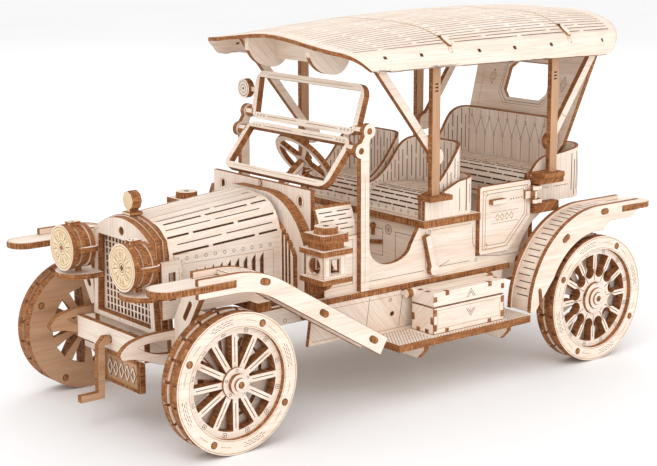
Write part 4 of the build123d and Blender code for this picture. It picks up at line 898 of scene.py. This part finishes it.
d = Drawing(bonnet_place, depth=0.5, proud=0.03)
BONNET_ROWS = ((0.02, 0.7, (66, 90), (93, 122)), (0.22, 1.0, (64, 72), (75, 98), (101, 121)),
               (0.40, 0.5, (70, 95), (98, 122)), (0.58, 1.0, (64, 84), (87, 109), (112, 123)),
               (0.76, 0.5, (66, 92), (95, 119)), (0.93, 1.0, (64, 74), (77, 100), (103, 122)))
for side in (1, -1):
    for share, width, *dashes in BONNET_ROWS:
        for a, b in dashes:
            steps = max(2, int((b - a) / 5))
            xs = [a + (b - a) * k / steps for k in range(steps + 1)]
            d.line([(x, side * arc_run(x, share)) for x in xs], width)
    d.line([(64, side * 6.0), (122, side * 6.0)], 0.3, M_GOLD)
    d.line([(x, side * (arc_run(x, 0) - 0.6)) for x in (63.5, 123.5)], 0.3, M_GOLD)
d.bar((66.5, 5.2), 4.0, 0.5)
d.make("bonnet_shoulder_cuts")


# ---- seats and cushions
def cushion_place(x_front, z_foot, bend):
    """A point on a cushion's bent front and top: p is y, and the distance up from the foot of its front."""
    arc = bend * math.pi / 2 * 0.98

    def place(p, h):
        y, run = p
        if run < 4.5:
            return Vector((x_front + h, y, z_foot + run))
        if run < 4.5 + arc:
            angle = (run - 4.5) / arc * math.pi / 2
            return Vector((x_front - bend + (bend + h) * math.cos(angle), y,
                           z_foot + 4.5 + (bend + h) * math.sin(angle)))
        return Vector((x_front - bend - (run - 4.5 - arc), y, z_foot + 4.5 + bend + h))
    return place


for name, x_front, z_foot, bend, centre, half in (
        ("front_left", -12.6, 85.5, 7.0, 23.6, 19.6), ("front_right", -12.6, 85.5, 7.0, -23.6, 19.6),
        ("rear", -89.2, 86.0, 9.0, 0.0, 41.0)):
    d = Drawing(cushion_place(x_front, z_foot, bend), depth=0.5, proud=0.04)
    rows = 6
    for row in range(rows):
        height = 4.4 + (bend * 1.54 + 2.2) * row / (rows - 1)
        start = centre - half + (1.5 if row % 2 else -3.0)
        while start < centre + half - 2:
            a, b = max(start, centre - half + 1.2), min(start + 9.5, centre + half - 1.2)
            if b - a > 1.5:
                d.line([(a, height), (b, height)], 0.75)
            start += 11.2
    count = 7 if half < 30 else 13
    for k in range(count):
        y = centre - half + 2.4 + (2 * half - 4.8) * k / (count - 1)
        d.ring((y, 2.2), 0.62, 0.2, steps=12)
    d.make(f"cushion_{name}_cuts")
    d = Drawing(on_top(97.0 if half < 30 else 99.5), proud=0.03)
    if half < 30:
        for y in (centre - 9.5, centre, centre + 9.5):
            d.line([(-22.5, y), (-38.0, y)], 0.2)
        for y in (centre - 5, centre + 5):
            d.lozenge((-27.0, y), 2.2, 1.6, 0.2)
    else:
        for k in range(9):
            y = -36 + 9 * k
            d.line([(-101.0, y), (-104.2, y + 4.5)], 0.2)
            if k < 8:
                d.line([(-101.0, y + 9), (-104.2, y + 4.5)], 0.2)
                d.line([(-104.2, y + 4.5), (-113.0, y + 4.5)], 0.2)
            d.ring((-101.0, y), 0.5, 0.2, steps=10)
    d.make(f"cushion_{name}_quilting")

# upright cuts inside and outside the bent seat shells
for name, centre, half, x_front, x_back, corner, foot, node, step in (
        ("front_left", 23.6, 21.2, -11.0, -43.4, 11.0, 97.5, "front_seats", 2.6),
        ("front_right", -23.6, 21.2, -11.0, -43.4, 11.0, 97.5, "front_seats", 2.6),
        ("rear", 0.0, 42.6, -88.0, -117.5, 12.0, 100.0, "rear_seat", 2.8)):
    straight = x_front - x_back - corner
    quarter = corner * math.pi / 2
    across = 2 * (half - corner)

    def shell_frame(run):
        """Place and outward direction at a distance round the shell from its front left end."""
        if run < straight:
            return x_front - run, centre + half, 0.0, 1.0
        if run < straight + quarter:
            a = (run - straight) / corner
            return (x_back + corner - corner * math.sin(a), centre + half - corner + corner * math.cos(a),
                    -math.sin(a), math.cos(a))
        if run < straight + quarter + across:
            return x_back, centre + half - corner - (run - straight - quarter), -1.0, 0.0
        if run < straight + 2 * quarter + across:
            a = (run - straight - quarter - across) / corner
            return (x_back + corner - corner * math.cos(a), centre - half + corner - corner * math.sin(a),
                    -math.cos(a), -math.sin(a))
        run -= straight + 2 * quarter + across
        return x_back + corner + run, centre - half, 0.0, -1.0

    total = 2 * straight + 2 * quarter + across
    shell = tree_of((node,))
    for face in (1, -1):
        def on_shell(p, h):
            """p is the distance round the shell, and z."""
            x, y, nx, ny = shell_frame(p[0])
            return Vector((x + face * (1.0 + h) * nx, y + face * (1.0 + h) * ny, p[1]))
        d = Drawing(on_shell, depth=0.3)
        run, number = 2.2, 0
        while run < total - 2:
            x, y = shell_frame(run)[:2]
            hit, _, _, _ = shell.ray_cast(Vector((x, y, 200)) * MM, Vector((0, 0, -1)))
            flat_back = straight + quarter + 1 < run < straight + quarter + across - 1
            if hit is not None and hit.z / MM > foot and not (node == "rear_seat" and flat_back):
                top = hit.z / MM - 2.0
                low = 86.5 if face > 0 else foot
                tall = top - low
                if number % 2:
                    d.line([(run, low + tall * 0.1), (run, top - tall * 0.12)], 0.42)
                else:
                    d.line([(run, low), (run, low + tall * 0.55)], 0.42)
                    d.line([(run, low + tall * 0.66), (run, top + 0.8)], 0.42)
            run += step
            number += 1
        d.make(f"seat_shell_{name}_{'outer' if face > 0 else 'inner'}_cuts")

# tufting on the rear seat's back
d = Drawing(on_end(-116.5), proud=0.04)
BUTTONS = 9
for k in range(BUTTONS):
    y = -28.0 + 7.0 * k
    d.line([(y, 125.0), (y, 122.0)], 0.2)
    d.lozenge((y, 121.0), 0.8, 1.0)
    if k < BUTTONS - 1:
        d.line([(y + 0.4, 120.2), (y + 3.2, 112.8)], 0.2)
        d.line([(y + 6.6, 120.2), (y + 3.8, 112.8)], 0.2)
        d.lozenge((y + 3.5, 111.8), 0.8, 1.0)
        d.line([(y + 3.5, 110.8), (y + 3.5, 100.5)], 0.2)
d.make("rear_seat_tufting")

# the front seat's riser, seen through the side openings
d = Drawing(on_end(-12.0))
for sense in (1, -1):
    d.box((sense * 3.0, 62.0), (sense * 16.0, 76.0), 0.22)
    d.box((sense * 26.0, 62.0), (sense * 41.0, 76.0), 0.22)
    d.ring((sense * 20.5, 76.5), 2.4, 0.3)
    d.ring((sense * 20.5, 76.5), 1.3, 0.25)
    d.dot((sense * 20.5, 76.5), 0.6, M_EDGE, proud=0.1)
d.make("seat_riser_lines")
d = Drawing(on_end(-12.0), depth=0.5)
for y in (3.0, 9.0):
    d.bar((y, 74.0), 1.6, 4.0, 0, M_EDGE, 1.2)
    d.dot((y, 77.0), 1.5, M_EDGE, proud=1.4)
d.bar((6.0, 68.0), 20.0, 2.0, 8, M_EDGE, 1.0)
d.make("seat_riser_levers")

# rear tub: upright cuts round its corners, lines on its flat parts
for sense, name in SIDES:
    def tub_place(p, h):
        """p is the distance round the rear corner from where it begins, and z."""
        run, z = p
        if run < 0:
            return Vector((-119.0 - run, sense * (47.0 + h), z))
        angle = run / 10.0
        if angle < math.pi / 2:
            return Vector((-119.0 - (11 + h) * math.sin(angle),
                           sense * (36.0 + (11 + h) * math.cos(angle)), z))
        return Vector((-130.0 - h, sense * (36.0 - (run - 10 * math.pi / 2)), z))
    d = Drawing(tub_place, depth=0.35)
    for number in range(9):
        run = -0.6 + 2.1 * number
        top = 108.5 + 0.18 * run
        if number % 2:
            d.line([(run, 85.5), (run, 104.5)], 0.5)
        else:
            d.line([(run, 88.5), (run, top - 0.5)], 0.5)
    d.line([(-31, 91.8), (-18, 91.8)], 0.24)
    d.line([(-14, 91.8), (-3, 91.8)], 0.24)
    d.make(f"rear_tub_{name}_cuts")
d = Drawing(on_end(-130.0, -1))
d.box((-32, 87.5), (32, 106.5), 0.25, M_GOLD, 2.5)
d.box((-30, 89.5), (30, 104.5), 0.22, M_INK, 2.0)
for y in (-25, 0, 25):
    d.lozenge((y, 97), 2.4, 3.2)
    d.lozenge((y, 97), 1.2, 1.7)
d.make("rear_tub_back_lines")

# ---- doors
for sense, name in SIDES:
    d = Drawing(on_side(49.4 * sense))
    frame_line = [(-50.6, 65.2), (-67.6, 65.2), (-82.4, 79.8), (-82.4, 95.6), (-50.6, 95.6)]
    inner = [(-54.2, 67.0), (-66.6, 67.0), (-80.8, 80.8), (-80.8, 92.0), (-79.0, 93.8), (-54.2, 93.8),
             (-52.4, 92.0), (-52.4, 68.8)]
    d.line(frame_line, 0.42, M_GOLD, closed=True)
    d.line(inner, 0.2, M_INK, closed=True)
    d.line([(-66.6, 67.0), (-52.4, 67.0), (-52.4, 68.8)], 0.2, M_GOLD)
    d.rings(((-52.6, 94.0), (-80.4, 94.0), (-53.0, 66.6)), 1.0, index=M_GOLD)
    for z in (83.8, 78.0):
        d.line([(-56.6, z), (-76.0, z)], 0.26, M_GOLD)
    for k in range(4):
        d.lozenge((-61.0 - 3.4 * k, 80.9), 1.25, 1.75, 0.3, M_GOLD)
    for k in range(5):
        d.dot((-70.6 - 1.9 * k, 89.5), 0.42, steps=8)
    d.make(f"rear_door_{name}_lines", f"rear_door_{name}")
    d = Drawing(lambda p, h: Vector((p[0], sense * (46.8 - h), p[1])))
    d.box((-80, 82), (-54, 94), 0.22, M_GOLD, 2)
    d.make(f"rear_door_{name}_inner_lines", f"rear_door_{name}")

# ---- body sides, aprons and running boards
for sense, name in SIDES:
    d = Drawing(from_side(sense, "body_sides"), step=3.0)
    d.line([(26.5, 59.6), (-12.5, 59.6)], 0.22)
    d.line([(-13.6, 60.4), (-13.6, 79.6)], 0.24)
    d.line([(-44.6, 79.5), (-17.6, 79.5)], 0.22, M_GOLD)
    d.line([(-46.0, 77.5), (-46.0, 69.0), (-50.0, 62.0), (-66.0, 59.8), (-84.0, 59.8)], 0.24)
    d.line([(-20.0, 60.2), (-44.0, 60.2)], 0.22)
    d.line([(-17.5, 58.4), (-30, 62.6)], 0.22)
    d.rings(((-16.2, 79.0), (-48.5, 60.0), (-86.0, 58.5)), 0.8)
    d.line([(48.5, 60.0), (33.5, 60.0), (33.5, 82.0), (48.5, 82.0)], 0.22, M_GOLD)
    d.make(f"body_side_{name}_lines")

    def apron_place(p, h):
        """p is x, and the distance up the sloping apron from its foot."""
        up = Vector((0, 3.5, 20.3)).normalized()
        out = Vector((0, 20.3, -3.5)).normalized()
        at = Vector((p[0], 45.7, 32.7)) + up * p[1] + out * h
        return Vector((at.x, sense * at.y, at.z))
    probe, _, _, _ = tree_of(("aprons",)).ray_cast(Vector((10, 70 * sense, 45)) * MM, Vector((0, -sense, 0)))
    offset = abs(probe.y) / MM - abs(apron_place((10, 12.48), 0).y)
    d = Drawing(lambda p, h: apron_place(p, h) + Vector((0, sense * offset, 0)))
    d.line([(58, 2.2), (26, 2.2)], 0.22, M_GOLD)
    d.line([(58, 18.0), (-60, 18.0)], 0.22, M_GOLD)
    for x in (55.0, 10.8, -56.0):
        d.ring((x, 16.2), 0.95, 0.22, steps=14)
        d.dot((x, 16.2), 0.3, steps=8)
    d.dot((8.5, 8.5), 1.3)
    d.dot((-56.0, 8.5), 1.3)
    for x in (24.5, 3.0):
        d.line([(x, 1.2), (x, 19.2)], 0.24)
    d.make(f"apron_{name}_lines")

    d = Drawing(on_top(32.7), proud=0.05)
    y = 51.0
    while y < 70.6:
        for low, high in ((2.0, 23.6),) if sense > 0 else ((-62.0, 23.6),):
            x = high - (0.0 if round(y * 10) % 2 else 0.9)
            while x > low:
                d.bar((x, sense * y), 0.95, 0.3, 35 * sense)
                x -= 1.8
        if sense > 0:
            x = -51.0
            while x > -63.4:
                d.bar((x, sense * y), 0.95, 0.3, 35)
                x -= 1.8
        y += 1.3
    d.box((-64.0, sense * 50.2), (24.2, sense * 70.9), 0.2, M_GOLD)
    d.make(f"running_board_{name}_tread")
    if sense > 0:
        d = Drawing(on_top(32.7), proud=0.05)
        for x in range(-50, 2, 2):
            d.bar((x, 69.4), 0.95, 0.3, 35)
            d.bar((x - 1, 70.3), 0.95, 0.3, 35)
        d.make("running_board_strip")

# ---- toolbox
TABS_X, ENDS_X = (-9.6, -38.6), (-1.7, -47.5)
d = Drawing(on_side(67.6))
d.joints(TABS_X, (33.8,), 2.4, 2.2)
d.joints(ENDS_X, (36.0, 43.6), 2.2, 3.4)
d.line([(-3.4, 35.4), (-45.8, 35.4), (-45.8, 44.6), (-3.4, 44.6)], 0.18, M_GOLD, closed=True)
for half, tall in ((3.0, 4.0), (1.8, 2.6)):
    d.line([(-25.6 - half, 42.6), (-25.6, 42.6 - tall), (-25.6 + half, 42.6)], 0.24)
d.line([(-25.6, 44.4), (-25.6, 40.6)], 0.2, M_GOLD)
d.make("toolbox_front_joints")
d = Drawing(on_side(67.6))
d.joints(TABS_X, (52.6,), 2.4, 2.2)
d.joints(ENDS_X, (50.4,), 2.2, 2.6)
for half, tall in ((3.0, 4.0), (1.8, 2.6)):
    d.line([(-25.6 - half, 48.4), (-25.6, 48.4 + tall), (-25.6 + half, 48.4)], 0.24)
d.make("toolbox_lid_front_joints", "toolbox_lid")
d = Drawing(on_top(53.7))
d.joints(TABS_X, (66.5,), 2.4, 2.2)
d.joints(ENDS_X, (57.0, 62.2), 2.2, 2.4)
d.box((-44.5, 55.5), (-4.7, 63.8), 0.2, M_GOLD, 1.5)
d.make("toolbox_lid_top_joints", "toolbox_lid")
for x, way in ((-0.6, 1), (-48.6, -1)):
    d = Drawing(on_end(x, way))
    d.joints((52.7, 66.5), (39.6,), 2.2, 3.6)
    d.joints((56.5, 62.8), (33.8,), 2.6, 2.2)
    d.make(f"toolbox_{'front' if way > 0 else 'rear'}_end_joints")

# ---- radiator, lamps and plate
d = Drawing(on_end(133.4))
d.line([(-20, 90.5), (-24.2, 88.4), (-27.0, 47.9)], 0.2, M_GOLD)
d.line([(20, 90.5), (24.2, 88.4), (27.0, 47.9)], 0.2, M_GOLD)
d.ring((0, 91.8), 2.1, 0.2, M_GOLD)
d.make("radiator_lines")
for sense, name in SIDES:
    centre = (26.8 * sense, 81.6)
    d = Drawing(on_end(150.0), proud=0.04)
    d.dot(centre, 10.3, M_GILT, proud=0.02, steps=40)
    d.ring(centre, 9.9, 0.3, M_GOLD, steps=40)
    d.ring(centre, 8.4, 0.22, M_GOLD, steps=36)
    d.ring(centre, 3.4, 0.3, M_GOLD, steps=24)
    for k in range(16):
        a = 22.5 * k + 11.25
        d.line([polar(centre, 4.2, a), polar(centre, 7.6, a)], 0.28, M_GOLD if k % 2 else M_INK)
    for k in range(8):
        a = 45 * k
        d.line([polar(centre, 5.6, a - 9), polar(centre, 7.4, a), polar(centre, 5.6, a + 9)], 0.22, M_GOLD)
    d.ring(centre, 2.1, 0.24, M_INK, steps=18)
    d.bar(centre, 2.2, 2.2, 45, M_EDGE, 0.12)
    d.make(f"headlamp_{name}_lens_lines")
    d = Drawing(on_top(93.6), proud=0.05)
    for k in (-1, 0, 1):
        d.dot((143.6 + 1.1 * (k % 2), sense * 26.8 + 1.3 * k), 0.5, steps=10)
    d.make(f"headlamp_{name}_vent_dots")
    # frames round the lantern's windows, and the dot on its cap
    d = Drawing(on_end(LANTERN_X + 6.75))
    d.box((sense * LANTERN_Y - 5.9, 71.0), (sense * LANTERN_Y + 5.9, 79.9), 0.2, M_GOLD)
    d.ring((sense * LANTERN_Y, 75.4), 4.5, 0.22, M_GOLD)
    d.make(f"lantern_{name}_front_lines")
    d = Drawing(on_side(sense * (LANTERN_Y + 6.75)))
    d.box((LANTERN_X - 5.9, 71.0), (LANTERN_X + 5.9, 79.9), 0.2, M_GOLD)
    d.box((LANTERN_X - 3.2, 71.6), (LANTERN_X + 3.2, 79.2), 0.22)
    d.make(f"lantern_{name}_side_lines")
    d = Drawing(on_top(93.6))
    d.dot((LANTERN_X, sense * LANTERN_Y), 1.5)
    d.make(f"lantern_{name}_cap_dot")
    d = Drawing(on_top(79.4))
    d.ring((158.8 - 8.35, sense * 62.95), 7.5, 0.2, M_GOLD, -90, 180)
    d.line([(150.4, sense * 70.4), (138, sense * 70.4)], 0.2, M_GOLD)
    d.line([(150.4, sense * 55.4), (138, sense * 55.4)], 0.2, M_GOLD)
    d.make(f"fender_tongue_{name}_lines")

# plain plate: a raised border and a row of lozenges where the real one has lettering
d = Drawing(on_end(141.2), proud=0.06)
d.bar((10.0, 28.6), 28.6, 13.6, 0, M_TAN_AND_PAINTED_SHADE)
d.proud = 0.5
d.box((-4.6, 21.6), (24.6, 35.6), 1.2, M_EDGE)
d.box((-3.4, 22.8), (23.4, 34.4), 0.3, M_GOLD)
for k in range(5):
    d.proud = 0.3
    d.lozenge((5.0 * k, 28.6), 1.9, 3.6, 1.0)
    d.proud = 0.5
    d.lozenge((5.0 * k, 28.6), 1.9, 3.6, 0.55, M_FACE)
d.make("number_plate_border")

# ---- firewall, scuttle and cowl
d = Drawing(on_end(53.5))
d.ring((0, 105.3), 2.3, 0.2, M_GOLD)
for y in (-31.8, 31.8):
    d.ring((y, 100.6), 2.9, 0.2, M_GOLD)
d.make("scuttle_rings")
d = Drawing(on_end(54.3))
d.lozenge((0, 105.3), 0.8, 1.0)
d.make("scuttle_badge")
for sense, name in SIDES:
    d = Drawing(from_side(sense, "cowl_panels", start=70), step=3.0, depth=0.4)
    for k, z in enumerate((85.5, 88.0, 90.3, 92.5, 94.5, 96.3)):
        if k % 2:
            d.line([(33.0, z), (41.0, z)], 0.45)
            d.line([(44.0, z), (52.0, z)], 0.45)
        else:
            d.line([(36.0, z), (49.0, z)], 0.45)
    d.make(f"cowl_{name}_cuts")
    # posts: three small slots near the head, and a line down the middle
    for x in (-14.0, -97.0):
        d = Drawing(on_side(53.5 * sense))
        for k in range(3):
            d.bar((x, 153.5 - 1.7 * k), 1.9, 0.8)
        d.line([(x, 148.0), (x, 132.0)], 0.2, M_GOLD)
        d.make(f"roof_post_{name}_{'front' if x > -50 else 'rear'}_marks")
    for foot, head, tag in (((-15.5, 119.0), (29.0, 174.0), "front"),
                            ((-99.0, 118.0), (-137.0, 172.0), "rear")):
        d = Drawing(on_side(50.5 * sense), proud=0.03)
        a, b = Vector(foot), Vector(head)
        for share in (0.22, 0.78):
            p = a + (b - a) * share
            n = (b - a).normalized()
            n = Vector((-n.y, n.x))
            d.line([p - n * 1.9, p + n * 1.9], 0.2)
        for share in (0.06, 0.94):
            d.ring(a + (b - a) * share, 0.9, 0.2, steps=12)
        d.make(f"roof_brace_{name}_{tag}_marks")
    d = Drawing(on_side(50.0 * sense), proud=0.03)
    d.line([(28.3, 60), (28.3, 112)], 0.2, M_GOLD)
    d.make(f"windscreen_post_{name}_line")

# ---- rear wall and windscreen frames
lean = math.radians(20)
wall_up = Vector((-math.sin(lean), 0, math.cos(lean)))
wall_out = Vector((math.cos(lean), 0, math.sin(lean)))
for face, name in ((1, "inner"), (-1, "outer")):
    base = Vector((-117.9, 0, 104.0)) - (wall_out * 2.5 if face < 0 else Vector())
    d = Drawing(on_board(base, (0, 1, 0), wall_up, wall_out * face), proud=0.03)
    d.box((-18.2, 27.8), (18.2, 53.2), 0.24, M_INK, 5.0)
    d.box((-19.6, 26.4), (19.6, 54.6), 0.24, M_GOLD, 5.4)
    for y in (-27.0, 27.0):
        d.lozenge((y, 40.5), 2.2, 4.4)
        d.lozenge((y, 40.5), 1.0, 2.2, 0.2, M_GOLD)
    d.line([(-33, 22), (-35.5, 45)], 0.2, M_GOLD)
    d.line([(33, 22), (35.5, 45)], 0.2, M_GOLD)
    d.make(f"rear_wall_{name}_lines")

for node, foot, top in (("windscreen_lower_frame", (46.9, 107.9), (29.3, 129.8)),
                        ("windscreen_upper_frame", (28.3, 131.0), (22.4, 155.1))):
    run = Vector((top[0] - foot[0], 0, top[1] - foot[1]))
    tall = run.length
    run.normalize()
    facing = Vector((run.z, 0, -run.x))

    def frame_place(p, h):
        """p is y, and the distance up the frame from its foot."""
        start = Vector((foot[0], p[0], foot[1])) + run * p[1] + facing * 12
        hit, _, _, _ = tree_of((node,)).ray_cast(start * MM, -facing)
        return None if hit is None else hit / MM + facing * h
    d = Drawing(frame_place, step=4.0, proud=0.03)
    rail = 2.0 if node.endswith("upper_frame") else tall - 2.0
    for side in (-1, 1):
        for k in range(3):
            d.ring((side * (36.5 - 2.6 * k), rail), 0.55, 0.2, steps=10)
        d.line([(side * 39.0, rail - 1.4), (side * 39.0, rail + 1.4)], 0.2)
        d.line([(side * 29.4, rail - 1.4), (side * 29.4, rail + 1.4)], 0.2)
    d.line([(-28, rail), (-4, rail)], 0.22)
    d.line([(4, rail), (28, rail)], 0.22)
    d.line([(-34, tall - rail), (34, tall - rail)], 0.2, M_GOLD)
    d.make(f"{node}_lines", node)

# the mirror on the right of the windscreen
d = Drawing(cast(("windscreen_upper_frame",), lambda p: (60, p[0], p[1]), (-1, 0, 0)))
d.ring((-53.0, 144.8), 3.9, 0.24)
d.ring((-53.0, 144.8), 2.2, 0.24)
d.dot((-53.0, 144.8), 0.7)
d.make("mirror_rings", "windscreen_upper_frame")

# chassis rails: bolts and tenon ends
for sense, name in SIDES:
    d = Drawing(from_side(sense, "chassis_rails"))
    for x in range(-130, 131, 26):
        d.tenon((x, 44.0), 5.0, 2.6, proud=0.4)
        d.ring((x + 12, 44.0), 0.9, 0.22, steps=12)
    d.make(f"rail_{name}_tenons")

add_camera()
add_studio()
